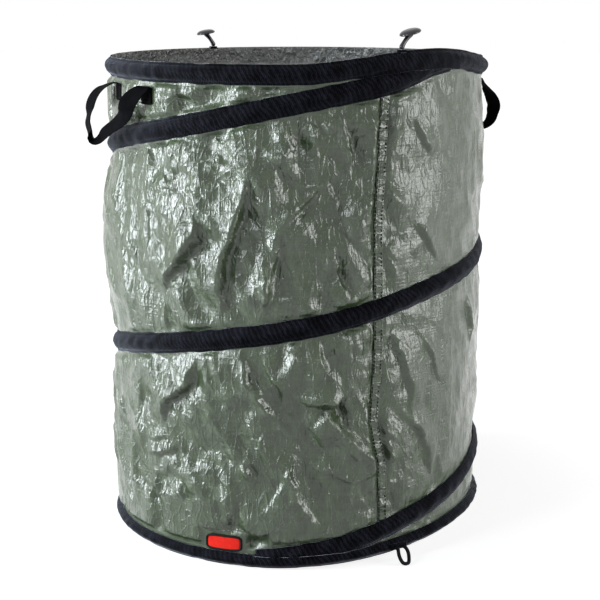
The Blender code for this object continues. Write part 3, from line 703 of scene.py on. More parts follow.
def metal_finish(name, colour, roughness, scratches):
    """Drawn or pressed metal with fine scratches and a dull bloom."""
    tree = new_finish(name, colour, roughness, metallic=1.0)
    where = object_of(tree)
    lines = noise(tree, stretched(tree, where, scratches), 1.0, 2.0, dimensions="3D")
    bloom = noise(tree, where, 90.0, dimensions="3D")
    plug(tree, Base_Color=shade(tree, bloom, colour, paler(colour, 1.25), 0.35, 0.7),
         Roughness=scaled(tree, bloom, 0.25, roughness - 0.1), Normal=bump(tree, lines, 0.0001, 0.4))


# The cloth of the wall


def tape_edges(bearing, height):
    """How far a point is above or below the nearest tape edges: free room down, up and to the nearest.

    The tapes that cross one bearing are the rim's, up to three of the helix's and the base's.
    """
    low = base_height(bearing)
    tapes = [(rim_height(bearing), RIM_TAPE[0]), (low, BASE_TAPE[0])]
    for lap in range(3):
        turned = (LEAVE_RIM_BEARING - bearing) % 360.0 + 360.0 * lap
        middle = helix_height(np.minimum(turned, LAST_TURN))
        tapes.append((np.where(turned <= LAST_TURN, middle, low), HELIX_TAPE[0]))
    down = up = np.full(np.broadcast(bearing, height).shape, FAR)
    for middle, half in tapes:
        off = height - middle
        down = np.minimum(down, np.where(off > 0.0, off - half, FAR))
        up = np.minimum(up, np.where(off <= 0.0, -off - half, FAR))
    return down, up, np.minimum(down, up)


def band_share(bearing, height):
    """0 in the top band of cloth, 1 in the middle band and 2 in the lowest."""
    first = (LEAVE_RIM_BEARING - bearing) % 360.0
    upper, lower = helix_height(first), helix_height(np.minimum(first + 360.0, LAST_TURN))
    return (height < upper).astype(float) + (height < lower)


def bulge(bearing, height, room_down, room_up):
    """The slack between two tapes: a flattened half circle, as deep as the bearing's table says."""
    band = band_share(bearing, height)
    depths = [np.interp(bearing % 360.0, BULGE[:, 0], column) for column in BULGE.T[1:]]
    depth = sum(np.where(band == number, deep, 0.0) for number, deep in enumerate(depths))
    room = np.maximum(room_down, 0.0) + np.maximum(room_up, 0.0)
    share = clamp(room_down / np.maximum(room, 1e-6))
    return depth * np.minimum(room / 0.08, 1.0) * (4.0 * share * (1.0 - share)) ** 0.62


def nearest_on(knots, x, y):
    """Where points lie beside a line through knots: metres to its right, metres along it, its length.

    A point's right is the side of its nearest stretch that faces right and down.
    """
    lengths = np.linalg.norm(np.diff(knots, axis=0), axis=1)
    nearest, signed, passed, walked = np.full(x.shape, FAR), np.zeros(x.shape), np.zeros(x.shape), 0.0
    for start, end, length in zip(knots, knots[1:], lengths):
        way = (end - start) / length
        right = np.array([-way[1], way[0]])
        if right @ np.array([1.0, -0.8]) < 0.0:
            right = -right
        t = np.clip((x - start[0]) * way[0] + (y - start[1]) * way[1], 0.0, length)
        dx, dy = x - start[0] - way[0] * t, y - start[1] - way[1] * t
        distance = np.hypot(dx, dy)
        closer = distance < nearest
        nearest = np.minimum(distance, nearest)
        signed = np.where(closer, np.where(dx * right[0] + dy * right[1] > 0, distance, -distance), signed)
        passed = np.where(closer, walked + t, passed)
        walked += length
    return signed, passed, lengths.sum()


def fold_relief(bearing, height):
    """The larger folds: each face is a steep ease along a line, with a slow run-out on both sides.

    The line is broken up by moving the points by facets first, and the face narrows to its ends.
    """
    flat, u = arc(bearing), arc(bearing % 360.0)
    u = u + 0.0030 * facets(flat, height, 0.016, 21.0) + 0.0014 * facets(flat, height, 0.007, 22.0)
    height = height + 0.0030 * facets(flat, height, 0.019, 23.0)
    total = np.zeros(height.shape)
    for drops, *numbers in FOLDS:
        tall, face, run = np.array(numbers[:3]) / 1000.0
        line = np.reshape(numbers[3:], (-1, 2))
        knots = np.stack([arc(line[:, 0]), line[:, 1] / 1000.0], -1)
        low, high = knots.min(0) - (run + face), knots.max(0) + (run + face)
        inside = (u > low[0]) & (u < high[0]) & (height > low[1]) & (height < high[1])
        side, passed, length = nearest_on(knots, u[inside], height[inside])
        side = drops * side
        fade = ramp(passed, -0.001, 0.36 * length) * ramp(length - passed, -0.001, 0.36 * length)
        face = face * (0.3 + 0.7 * fade)
        crest = 0.62 * clamp(1.0 - (-side - face / 2.0) / run) ** 2.2
        trough = -0.38 * clamp(1.0 - (side - face / 2.0) / (0.7 * run)) ** 2.2
        across = clamp(0.5 - side / face)
        steep = trough + (crest - trough) * across * across * (3.0 - 2.0 * across)
        shape = np.where(side < -face / 2.0, crest, np.where(side > face / 2.0, trough, steep))
        total[inside] += FOLD_DEPTH * tall * shape * fade
    return total


def slackness(bearing, height):
    """How crumpled the cloth is: most at the left and in the middle, least at the right."""
    seam = np.exp(-(arc(turn_between(bearing, SEAM_BEARING)) / 0.020) ** 2)
    return np.interp(bearing % 360.0, *SLACK.T) * (0.85 + 0.15 * np.cos(12.0 * height)) + 0.40 * seam


def crumple_relief(bearing, height):
    """Three sizes of flat-faced crumple on coordinates that drift, and the cloth pinched by the seam."""
    u, slack = arc(bearing), slackness(bearing, height)
    x, y = u + 0.006 * drift(u, height, 0.09, 2.0), height + 0.008 * drift(u, height, 0.11, 3.0)
    coarse = facets(x, y, 0.040, 4.0, 1.7, 18.0)
    medium = facets(x, y, 0.0175, 5.0, 2.0, 14.0)
    fine = facets(x, y, 0.0085, 6.0, 1.5, 35.0)
    crinkle = facets(0.35 * u, height, 0.0085, 7.0) + 0.6 * facets(0.7 * u, height, 0.0045, 8.0)
    off = arc(turn_between(bearing, SEAM_BEARING))
    pinched = 0.0026 * np.exp(-(off / 0.023) ** 2) * crinkle
    pinched = pinched + 0.0055 * np.exp(-((off + 0.029) / 0.021) ** 2)
    pinched = pinched * ramp(facets(u, height, 0.055, 9.0), -0.7, 0.1)
    return slack * (0.0100 * slack * coarse + 0.0060 * medium + 0.0021 * fine) + pinched


def pucker_relief(bearing, height, room):
    """Short upright puckers that the hem stitching draws into the cloth, faint 25 mm from a tape."""
    wave = facets(arc(bearing), 0.18 * height, 0.0062, 9.0)
    return 0.00085 * wave * np.exp(-np.maximum(room, 0.0) / 0.012)


def held_flat(bearing, height):
    """1 where the cloth is free, 0 under what is sewn to it: seam, label and handle tails."""
    across = lambda centre, width: arc(np.abs(turn_between(bearing, centre))) - width / 2.0
    free = ramp(across(SEAM_BEARING, 0.0), SEAM_WIDTH / 2.0 - 0.001, 0.014)
    low = base_height(LABEL_BEARING) + BASE_TAPE[0] + LABEL_LIFT
    sewn = [np.maximum(across(LABEL_BEARING, LABEL_SIZE[0]), height - low - LABEL_SIZE[1])]
    below = HANDLE_HEIGHT - TAIL_LENGTH - height
    sewn += [np.maximum(across(tail, WEBBING_WIDTH), below) for tail in TAILS]
    for beyond_it in sewn:
        free = free * ramp(beyond_it, 0.0, 0.012)
    return free


def room_when_pressed(bearing, height):
    """How far the cloth may stand out to stay behind the rim and base tapes when the bag is pressed flat.

    The wall then has a share of its height, and the two tapes keep theirs.
    """
    room = np.full(np.broadcast(bearing, height).shape, FAR)
    tapes = ((rim_height(bearing) - PRESSED, RIM_TAPE), (base_height(bearing), BASE_TAPE))
    for middle, (half, crown) in tapes:
        s = np.abs(KEPT_SHARE * height - middle) / half
        room = np.minimum(room, 0.85 * crown + 0.010 * ramp(s, 0.65, 1.0) + FAR * (s > 1.0))
    return room


def lining_room(bearing, height):
    """How far the lining may stand out and stay inside the rim tape and the tails when pressed flat."""
    pressed = KEPT_SHARE * height
    near = np.abs(pressed - (rim_height(bearing) - PRESSED)) - RIM_TAPE[0]
    up = np.abs(pressed - (HANDLE_HEIGHT - TAIL_LENGTH / 2.0 - PRESSED)) - TAIL_LENGTH / 2.0
    for tail in TAILS:
        across = arc(np.abs(turn_between(bearing, tail))) - WEBBING_WIDTH / 2.0
        near = np.minimum(near, np.maximum(across, up))
    return 0.010 * ramp(near, 0.001, 0.006) + FAR * (near > 0.006)


def wall_relief(bearing, height):
    """How far the cloth stands out from the wall's cylinder, and how crumpled it is.

    At the back, only two fifths are kept of what stands higher than BACK_CREST. Everywhere, a tenth is
    kept of what would come out past the rim and base tapes when the bag is pressed flat.
    """
    room_down, room_up, room = tape_edges(bearing, height)
    held = held_flat(bearing, height)
    free, near = ramp(room, -0.0005, 0.007) * held, ramp(room, -0.0005, 0.002) * held
    body = bulge(bearing, height, room_down, room_up) + fold_relief(bearing, height)
    body = body + crumple_relief(bearing, height)
    back = ramp(np.abs(turn_between(bearing, 270.0)), 86.0, 100.0)
    body = body - 0.6 * back * np.maximum(body - BACK_CREST, 0.0)
    body = body - 0.9 * np.maximum(body - room_when_pressed(bearing, height), 0.0)
    return body * free + pucker_relief(bearing, height, room) * near, slackness(bearing, height) * free


def wander(bearing, height):
    """The columns near the seam follow its wandering line."""
    off = turn_between(bearing, SEAM_BEARING)
    return np.interp(height, *SEAM_WANDER.T) * (1.0 - ramp(np.abs(off), 2.0, 16.0))


def wall_grid():
    """Bearings and heights over the wall: down from the top edge, and once round from the seam.

    The columns are closer together across the front, which is 175 degrees.
    """
    ends = (SEAM_BEARING, 360.0, 545.0, SEAM_BEARING + 360.0)
    right, left = (int(FRONT_COLUMNS * (end - start) / 175.0) for start, end in (ends[:2], ends[2:]))
    counts = (right, BACK_COLUMNS, left)
    spans = [np.linspace(*span, endpoint=False) for span in zip(ends, ends[1:], counts)]
    bearing = np.concatenate(spans)[None, :]
    top = rim_height(bearing) + RIM_TAPE[0]
    low = base_rise(bearing) + PANEL_THICKNESS + GAP
    height = top + (low - top) * np.linspace(0.0, 1.0, WALL_ROWS)[:, None]
    return np.broadcast_to(bearing, height.shape), height


def round_sheet(name, finish, bearing, height, out, **values):
    """A sheet once round the bag, so far out from the wall's radius at each point."""
    points = place(bearing + wander(bearing, height), WALL_RADIUS + out, height)
    uv = grid_uv(arc(again(bearing, 360.0)), again(height))
    return surface(name, points, finish, uv, values=values)


def make_wall():
    """The wall's outer face and, 1.1 mm or more inside it, its lining.

    The lining's relief is the least of the wall's within two points on every side.
    """
    bearing, height = wall_grid()
    relief, slack = wall_relief(bearing, height)
    wall = round_sheet("bag_wall", "tarpaulin_outside", bearing, height, relief, crumple=slack)
    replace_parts(wall, "wall_panel")

    for axis in (0, 1):
        relief = np.min([np.roll(relief, shift, axis) for shift in range(-2, 3)], axis=0)
    rows = np.r_[0:WALL_ROWS:2, WALL_ROWS - 1][::-1]
    bearing, height, relief = bearing[rows, ::2], height[rows, ::2], relief[rows, ::2]
    relief = np.minimum(relief, lining_room(bearing, height)) - LINING_INSET
    # Painted shade for the lining: 1 where a tape lies behind it and blocks the light through the film, 0 away
    # from the tapes.
    taped = 1.0 - ramp(tape_edges(bearing, height)[2], -0.001, 0.0015)
    return [wall, round_sheet("bag_lining", "tarpaulin_inside", bearing, height, relief, taped=taped)]


def make_base():
    """The base: a slack disc on the floor, rising with the base hoop; both faces and a closed edge."""
    bearing = np.arange(0.0, 360.0, 2.0)[None, :]
    upper, under = 46, 24
    share = np.concatenate([np.linspace(0.0, 1.0, upper), np.linspace(1.0, 0.0, under)])[:, None]
    top = (np.arange(upper + under) < upper)[:, None]
    x, y = (share * wave(np.radians(bearing)) * CLOTH_RADIUS for wave in (np.cos, np.sin))
    slack = 0.0016 * (1.0 + facets(x + 0.02 * drift(x, y, 0.2, 3.0), y, 0.03, 6.0))
    slack = slack + 0.0009 * (1.0 + drift(x, y, 0.05, 5.0)).clip(0.0, 2.0)
    height = base_rise(bearing) * ramp(share, PANEL_FLAT_SHARE, 1.0)
    height = height + np.where(top, PANEL_THICKNESS + slack * np.sin(np.pi * share) ** 0.5, 0.0)
    points = place(bearing, share * CLOTH_RADIUS, height)
    # The base's film gets none of the painted tape shade.
    base = surface("bag_base", points, "tarpaulin_inside", grid_uv(again(x), again(y)), 1e-6,
                   {"taped": np.zeros(height.shape)})
    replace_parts(base, "base_panel")
    return base


# Tapes over the wire


def tape_piece(name, turned, middle, top, bottom, tape, closed, lift_high=0.0, lift_low=0.0, seed=1.0,
               power=2.0):
    """A tape arched over the wire.

    Its section goes down the outer face and back up the inner one. The outer face stands out by the
    crown times (1 - (|s| / 0.86)^power)^(power / 2.4), where s goes from 1 at the upper edge to -1 at
    the lower, and lies flat beyond 0.86. A lift holds one side out to the crown. The inner face is a
    tape's thickness behind it.
    """
    half, crown = tape
    s = np.linspace(1.0, -1.0, 15)[None, :]
    turned, middle = turned[:, None], middle[:, None]
    bearing, u = LEAVE_RIM_BEARING - turned, arc(turned)
    ripple = 0.00045 * drift(u, s * half, 0.021, seed)
    ripple = ripple + 0.0004 * facets(u, s * half, 0.009, seed + 1.0, 2.2, -35.0)
    edge = 0.0005 * drift(u, 0.0 * s, 0.030, seed + 2.0)
    height = np.clip(middle + half * s + edge * np.abs(s) ** 3, bottom[:, None], top[:, None])
    arch = clamp(1.0 - (np.abs((height - middle) / half) / FLAT_EDGE) ** power) ** (power / 2.4)
    lift = np.where(height > middle, np.reshape(lift_high, (-1, 1)), np.reshape(lift_low, (-1, 1)))
    out = np.maximum(crown * np.maximum(arch, lift) + ripple * np.clip(arch * 1.4, 0.25, 1.0), 0.0)
    outer = place(bearing, WALL_RADIUS + GAP + TAPE_THICKNESS + out, height)
    inner = place(bearing, WALL_RADIUS + GAP + out * 0.96, height)[:, ::-1]
    points = np.concatenate([outer, inner], 1)
    if closed:
        u = np.concatenate([u, u[:1] + 2.0 * math.pi * WALL_RADIUS], 0)
    else:
        flat = (points[[0, -1]] + points[[0, -1]][:, ::-1]) / 2.0
        points = np.concatenate([flat[:1], points, flat[1:]], 0)
        u = np.concatenate([u[:1], u, u[-1:]], 0)
    v = again(np.concatenate([s * half, s[:, ::-1] * half], 1))
    return surface(name, points, "black_tape_woven", grid_uv(u, v), 0.0 if closed else 1e-6,
                   wrap=(closed, True))


def beyond(room):
    """1 where the wire is less than WIRE_ROOM from a tape's edge, 0 from half a helix tape on."""
    return clamp((HELIX_TAPE[0] - room) / (HELIX_TAPE[0] - WIRE_ROOM))


def hem_lift(turned, hoop_height, half):
    """How far a hoop tape's hem stands off so that the wire can pass under it, as a share of its crown."""
    lifts = []
    for where in (turned - STEP, turned, turned + STEP):
        offset = np.abs(helix_height(where) - hoop_height(LEAVE_RIM_BEARING - where))
        leaving = clamp((offset - WIRE_PITCH / 2.0) / (WIRE_ROOM / 2.0))
        lifts.append(np.minimum(leaving, beyond(offset - half)))
    return np.max(lifts, axis=0)


def make_tapes():
    """The rim, helix and base tapes."""
    turned = np.arange(0.0, 360.0, 0.75)
    middle = rim_height(LEAVE_RIM_BEARING - turned)
    lift = np.where(turned < 180.0, hem_lift(turned, rim_height, RIM_TAPE[0]), 0.0)
    rim = tape_piece("rim_tape", turned, middle, middle + RIM_TAPE[0], middle - RIM_TAPE[0] - 0.001,
                     RIM_TAPE, True, 0.0, lift)
    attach(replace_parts(rim, "rim_sleeve"), "rim")

    turned = turned[::-1]
    around = LAST_TURN - turned
    middle = base_height(LEAVE_RIM_BEARING - around)
    lift = np.where(turned < 180.0, hem_lift(around, base_height, BASE_TAPE[0]), 0.0)
    base = tape_piece("base_tape", around, middle, middle + BASE_TAPE[0], middle - BASE_TAPE[0], BASE_TAPE,
                      True, lift, 0.0, 4.0)
    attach(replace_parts(base, "base_sleeve"), "base")

    turned = np.arange(0.0, LAST_TURN + 0.1, 0.75)
    bearing, wire = LEAVE_RIM_BEARING - turned, helix_height(turned)
    top, bottom = wire + HELIX_TAPE[0] + 0.001, wire - HELIX_TAPE[0] - 0.001
    top = np.where(turned < 180.0, np.minimum(top, rim_height(bearing) - RIM_TAPE[0] - GAP), top)
    foot = base_height(bearing) + BASE_TAPE[0] - HEM_TUCK
    bottom = np.where(turned > LAST_TURN - 180.0, np.maximum(bottom, foot), bottom)
    turned, wire, top, bottom = (each[top - bottom >= LEAST_TAPE] for each in (turned, wire, top, bottom))
    helix = tape_piece("helix_tape", turned, wire, top, bottom, HELIX_TAPE, False,
                       beyond(top - 0.001 - wire), beyond(wire - bottom - 0.001), 2.0, 1.5)
    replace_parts(helix, "helix_sleeve")
    return [helix]


def tube_piece(name, path, radius, finish, sides):
    """A round tube along a path: circles square to it, carried along without twist, closed at both ends."""
    way = unit(np.gradient(path, axis=0))
    side = np.zeros_like(path)
    start = np.cross(way[0], (0.0, 0.0, 1.0))
    side[0] = unit(start if np.linalg.norm(start) > 0.1 else np.cross(way[0], (1.0, 0.0, 0.0)))
    for index in range(1, len(path)):
        side[index] = unit(side[index - 1] - way[index] * (side[index - 1] @ way[index]))
    turn = circle(sides)[None, :, None]
    size = np.broadcast_to(np.asarray(radius, float), (len(path),))[:, None, None]
    ring = side[:, None, :] * np.cos(turn) + np.cross(way, side)[:, None, :] * np.sin(turn)
    points = path[:, None, :] + size * ring
    points = np.concatenate([points[:1] * 0.0 + path[0], points, points[:1] * 0.0 + path[-1]], 0)
    walked = np.pad(walk(path), 1, "edge")
    around = np.linspace(0.0, 2.0 * math.pi * float(np.max(size)), sides + 1)
    return surface(name, points, finish, grid_uv(walked[:, None], around[None, :]), 1e-6)


def make_wire():
    """The spring: rim hoop, helix and base hoop in one length, at every 1.5 degrees."""
    turned = np.arange(-360.0 - OVERLAP, LAST_TURN + 360.0 + OVERLAP + 0.1, 1.5)
    path = place(LEAVE_RIM_BEARING - turned, WALL_RADIUS + WIRE_OUT, wire_height(turned))
    wire = tube_piece("coil_wire", path, WIRE_DIAMETER / 2.0, "spring_steel_drawn", 8)
    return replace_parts(wire, "spring_wire")


# Straps, stitches and label


def ribbon(name, middles, across, faces, width, thickness, finish, taper=0.0015, crumple=None):
    """A strap: a rounded section carried along its middle line, closed and rounded at both ends.

    across and faces are unit vectors, one for all points or one for each, along the strap's width and
    out of its face.
    """
    across, faces = (np.broadcast_to(way, middles.shape) for way in (across, faces))
    walked = walk(middles)
    wide, thick = rounded(circle(28), (0.35, 0.55), width / 2.0, thickness / 2.0)
    ends = np.minimum(walked, walked[-1] - walked)
    full = np.sqrt(clamp(1.0 - clamp(1.0 - ends / taper) ** 2))[:, None, None]
    narrow = 1.0 - (1.0 - full) * min(1.0, thickness / width)
    points = middles[:, None, :] + across[:, None, :] * wide[None, :, None] * narrow
    points = points + faces[:, None, :] * thick[None, :, None] * full
    values = None if crumple is None else {"crumple": np.full(points.shape[:2], crumple)}
    return surface(name, points, finish, grid_uv(walked[:, None], again(wide[None, :])), 1e-6, values)


def stitches(name, starts, ends, radius, finish):
    """Many stitches in one piece: each a six-sided spindle of five rings, closed at both ends."""
    sides = 6
    shares = np.array([0.0, 0.12, 0.5, 0.88, 1.0])
    sizes = radius * np.array([0.0, 0.8, 1.0, 0.8, 0.0])
    way, out = unit(ends - starts), unit(starts * (1.0, 1.0, 0.0))
    side = unit(np.cross(way, out))
    turn = circle(sides)[None, :, None]
    centre = starts[:, None, :] + (ends - starts)[:, None, :] * shares[None, :, None]
    ring = side[:, None, :] * np.cos(turn) + np.cross(side, way)[:, None, :] * np.sin(turn)
    points = centre[:, :, None, :] + sizes[None, :, None, None] * ring[:, None, :, :]
    count, rings = points.shape[:2]
    i, j = np.meshgrid(np.arange(rings - 1), np.arange(sides), indexing="ij")
    corner = lambda a, b: (i + a) * sides + (j + b) % sides
    quad = np.stack([corner(0, 0), corner(0, 1), corner(1, 1), corner(1, 0)], -1).reshape(-1, 4)
    faces = (np.arange(count) * rings * sides)[:, None, None] + quad[None, :, :]
    return quads(name, points, faces, finish, weld=1e-7, outward=True)


def through(stations, count):
    """A smooth line through stations: the Catmull-Rom cubic between each two of them."""
    first, last = 2.0 * stations[:1] - stations[1:2], 2.0 * stations[-1:] - stations[-2:-1]
    knots = np.concatenate([first, stations, last])
    at = np.linspace(0.0, len(stations) - 1.0, count)
    index = np.minimum(at.astype(int), len(stations) - 2)
    f = (at - index)[:, None]
    a, b, c, d = (knots[index + step] for step in range(4))
    return 0.5 * (2.0 * b + (c - a) * f + (2.0 * a - 5.0 * b + 4.0 * c - d) * f ** 2
                  + (3.0 * b - a - 3.0 * c + d) * f ** 3)


def make_handle(side, handle, stations):
    """A handle: a loop of webbing through its stations, square to its folds."""
    course = through(stations, 120)
    middles, across = course[:, :3], unit(course[:, 3:])
    way = unit(np.gradient(middles, axis=0))
    square = np.minimum(1.0, 4.0 * np.sin(np.pi * np.linspace(0.0, 1.0, 120)) ** 2)[:, None]
    across = unit(across - way * (across * way).sum(1, keepdims=True) * square)
    strap = ribbon(f"{side}_handle_strap", middles, across, unit(np.cross(across, way)), WEBBING_WIDTH,
                   WEBBING_THICKNESS, "black_webbing_woven")
    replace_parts(strap, f"{side}_handle")
    hinge = place(handle, WALL_RADIUS, HANDLE_HEIGHT)
    outward = (radial(handle) + upward(-1.0)) / math.sqrt(2.0)
    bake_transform(strap)
    facing = HANDLE_HALF_ANGLE if handle > 180.0 else -HANDLE_HALF_ANGLE
    make_tail(side, "front", handle + facing)
    make_tail(side, "rear", handle - facing)


def make_tail(side, end, bearing):
    """A handle's sewn end: webbing flat on the wall, with a stitched box and cross."""
    top = HANDLE_HEIGHT - WEBBING_THICKNESS / 2.0 - GAP
    height = np.linspace(top - TAIL_LENGTH, top, 24)
    middles = place(bearing, WALL_RADIUS + GAP + WEBBING_THICKNESS / 2.0, height)
    tail = ribbon(f"{side}_{end}_tail", middles, along(bearing), radial(bearing), WEBBING_WIDTH,
                  WEBBING_THICKNESS, "black_webbing_woven")
    bend_to_wall(tail)
    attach(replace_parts(tail, f"{side}_handle_{end}_tail"), "rim")
    wide, tall = WEBBING_WIDTH / 2.0 - 0.0026, TAIL_LENGTH / 2.0 - 0.0028
    box = np.array([(-1, -1), (1, -1), (1, 1), (-1, 1), (-1, -1), (1, 1)]) * (wide, tall)
    starts, ends = [], []
    for a, b in [*zip(box, box[1:]), (box[3], box[1])]:
        count = max(2, int(round(np.linalg.norm(b - a) / 0.0027)))
        knots = a + (b - a) * np.linspace(0.0, 1.0, count + 1)[:, None]
        starts.append(knots[:-1] * 0.87 + knots[1:] * 0.13)
        ends.append(knots[:-1] * 0.13 + knots[1:] * 0.87)
    lift = WALL_RADIUS + GAP + WEBBING_THICKNESS + 0.00005
    starts, ends = (
        place(bearing + turned_by(flat[:, 0]), lift, top - TAIL_LENGTH / 2.0 + flat[:, 1])
        for flat in (np.concatenate(starts), np.concatenate(ends))
    )
    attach(stitches(f"{side}_{end}_tail_stitches", starts, ends, 0.00032, "black_thread"), "rim")


def bend_to_wall(piece):
    """Moves points in or out so that a flat piece's distance from its plane becomes that from the wall."""
    points = np.zeros((len(piece.data.vertices), 3))
    piece.data.vertices.foreach_get("co", points.reshape(-1))
    x, y = points[:, 0].copy(), points[:, 1].copy()
    bearing = math.atan2(y.mean(), x.mean())
    c, s = math.cos(bearing), math.sin(bearing)
    out, turn = x * c + y * s, bearing + (-x * s + y * c) / WALL_RADIUS
    points[:, 0], points[:, 1] = out * np.cos(turn), out * np.sin(turn)
    piece.data.vertices.foreach_set("co", points.reshape(-1))
    piece.data.update()


def make_seam():
    """The felled seam: its folded allowance inside, a raised band outside and two rows of stitches; the left row,
    nearly unbroken, also gives painted shade along the folded edge.
    """
    low, top = base_rise(SEAM_BEARING) + 0.002, rim_height(SEAM_BEARING) + RIM_TAPE[0] - 0.003
    height = np.linspace(low, top, 260)
    bearing = SEAM_BEARING + wander(SEAM_BEARING, height)
    crinkle = 0.0009 * facets(height, 0.0 * height, 0.0055, 12.0)
    across, faces = along(bearing), radial(bearing)
    middles = place(bearing, WALL_RADIUS - 0.0021 + crinkle, height)
    inside = ribbon("seam_allowance", middles, across, faces, SEAM_WIDTH, 0.0016, "tarpaulin_outside")
    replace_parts(inside, "wall_seam")
    rise = 0.0014 * ramp(tape_edges(bearing, height)[2], -0.001, 0.002)
    middles = place(bearing, WALL_RADIUS + rise + crinkle * (rise > 0.0002) - 0.0002, height)
    band = ribbon("seam_band", middles, across, faces, SEAM_WIDTH + 0.0012, 0.0010, "tarpaulin_outside",
                  crumple=1.0)
    pieces, step, aside = [inside, band], 0.0043, turned_by(0.0040)
    # The left row is thicker, with small gaps: it is real stitching, and it also stands in for the shade line
    # along the band's folded edge, which is painted shade.
    for number, (side, gap, thick) in enumerate(((-1.0, 0.0002, 0.00085), (1.0, 0.0009, 0.0007))):
        z = np.arange(height[0] + 0.01, height[-1] - 0.02, step)
        z = z[tape_edges(np.full(z.shape, SEAM_BEARING), z + step / 2.0)[2] > 0.0015]
        starts, ends = (
            place(SEAM_BEARING + wander(SEAM_BEARING, level) + side * aside, WALL_RADIUS + 0.0015, level)
            for level in (z + gap, z + step - gap)
        )
        pieces.append(stitches(f"seam_stitches_{number + 1}", starts, ends, thick, "green_thread"))
    return pieces


def make_label():
    """A plain label: a thin rounded patch on the wall, with an overlocked edge wound round it."""
    wide, tall = LABEL_SIZE[0] / 2.0, LABEL_SIZE[1] / 2.0
    middle = base_height(LABEL_BEARING) + BASE_TAPE[0] + LABEL_LIFT + tall
    slope = -math.tan(math.radians(LABEL_TILT))
    fit = lambda a, b, out: place(LABEL_BEARING + turned_by(a), WALL_RADIUS + out, middle + b + slope * a)
    outline = lambda inset: rounded(circle(96), (0.42, 0.42), wide - inset, tall - inset)
    share = np.concatenate([np.linspace(0.0, 1.0, 10), np.linspace(1.0, 0.0, 4)])[:, None]
    thick = np.concatenate([np.full(10, 0.0009), np.full(4, 0.0002)])[:, None]
    a, b = (share * line[None, :] for line in outline(0.0016))
    patch = surface("label_patch", fit(a, b, thick), "red_label_woven", grid_uv(again(a), again(b)), 1e-6,
                    outward=True)
    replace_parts(patch, "label")
    path = fit(*(np.append(line, line[:2]) for line in outline(0.0008)), 0.0007)
    return [patch, tube_piece("label_edge", path, 0.0013, "black_thread", 10)]


# Toggles and loops


def rim_top(bearing):
    """Height of the upper edge of wall and rim tape."""
    return float(rim_height(bearing)) + RIM_TAPE[0]


def make_saddle(end, bearing):
    """A short tape folded over the rim: a strap down the outside, over a half circle and down the inside."""
    outer = 2.0 * GAP + TAPE_THICKNESS + SADDLE_THICKNESS / 2.0 + 0.0002
    inner = -WALL_THICKNESS - GAP - SADDLE_THICKNESS / 2.0
    turn = np.linspace(0.0, math.pi, 15)
    middle, reach = (outer + inner) / 2.0, (outer - inner) / 2.0
    down = np.linspace(SADDLE_LEG, 0.0002, 6)
    out = np.concatenate([np.full(6, outer), middle + reach * np.cos(turn), np.full(6, inner)])
    level = np.concatenate([-down, 0.0006 * np.sin(turn), -down[::-1]])
    middles = place(bearing, WALL_RADIUS + out, level + (rim_top(bearing) + GAP + SADDLE_THICKNESS / 2.0))
    faces = unit(np.cross(unit(np.gradient(middles, axis=0)), along(bearing)))
    saddle = ribbon(f"{end}_saddle", middles, along(bearing), faces, SADDLE_WIDTH, SADDLE_THICKNESS,
                    "black_tape_woven", 0.0006)
    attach(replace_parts(saddle, f"{end}_toggle_saddle"), "rim")


def make_toggle(end, bearing, lean, tilt):
    """A moulded toggle: a leaning stem with a flared neck, and a turned, domed head with a rolled lip."""
    foot = rim_top(bearing) + 2.0 * GAP + SADDLE_THICKNESS + STEM_DIAMETER / 2.0
    pivot = place(bearing, WALL_RADIUS + (TAPE_THICKNESS - WALL_THICKNESS) / 2.0, foot)
    sideways, tilt = along(bearing), math.radians(tilt)
    axis = unit(sideways * math.sin(tilt) + upward(math.cos(tilt)))
    neck = pivot + sideways * lean + upward(STEM_RISE)
    turn = np.linspace(0.0, math.pi / 2.0, 7)[1:-1]
    ball = pivot - np.cos(turn)[:, None] * upward(STEM_DIAMETER / 2.0)
    share = np.linspace(0.0, 1.0, 16)
    bent = pivot + sideways * (lean * share ** STEM_CURVE)[:, None] + np.outer(share, upward(STEM_RISE))
    path = np.concatenate([ball, bent, [neck + axis * HEAD_THICKNESS * 0.4]])
    waist = 1.0 - 0.16 * np.sin(np.pi * clamp(share * 1.15)) + 0.28 * share ** 7
    radius = STEM_DIAMETER / 2.0 * np.concatenate([np.sin(turn), waist, [1.2]])
    stem = tube_piece(f"{end}_toggle_stem", path, radius, "black_plastic_moulded", 24)
    first = unit(np.cross(axis, (0.0, 1.0, 0.0)))
    phi = circle(64)[:, None]
    ring = first * np.cos(phi) + np.cross(axis, first) * np.sin(phi)
    profile = HEAD_PROFILE[:, None, :] * (HEAD_DIAMETER / 2.0, HEAD_THICKNESS)
    points = neck + profile[..., :1] * ring + profile[..., 1:] * axis
    head = surface(f"{end}_toggle_head", points, "black_plastic_moulded", weld=1e-6)
    for piece in (stem, head):
        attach(piece, f"{end}_toggle")
    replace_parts(stem, f"{end}_toggle")


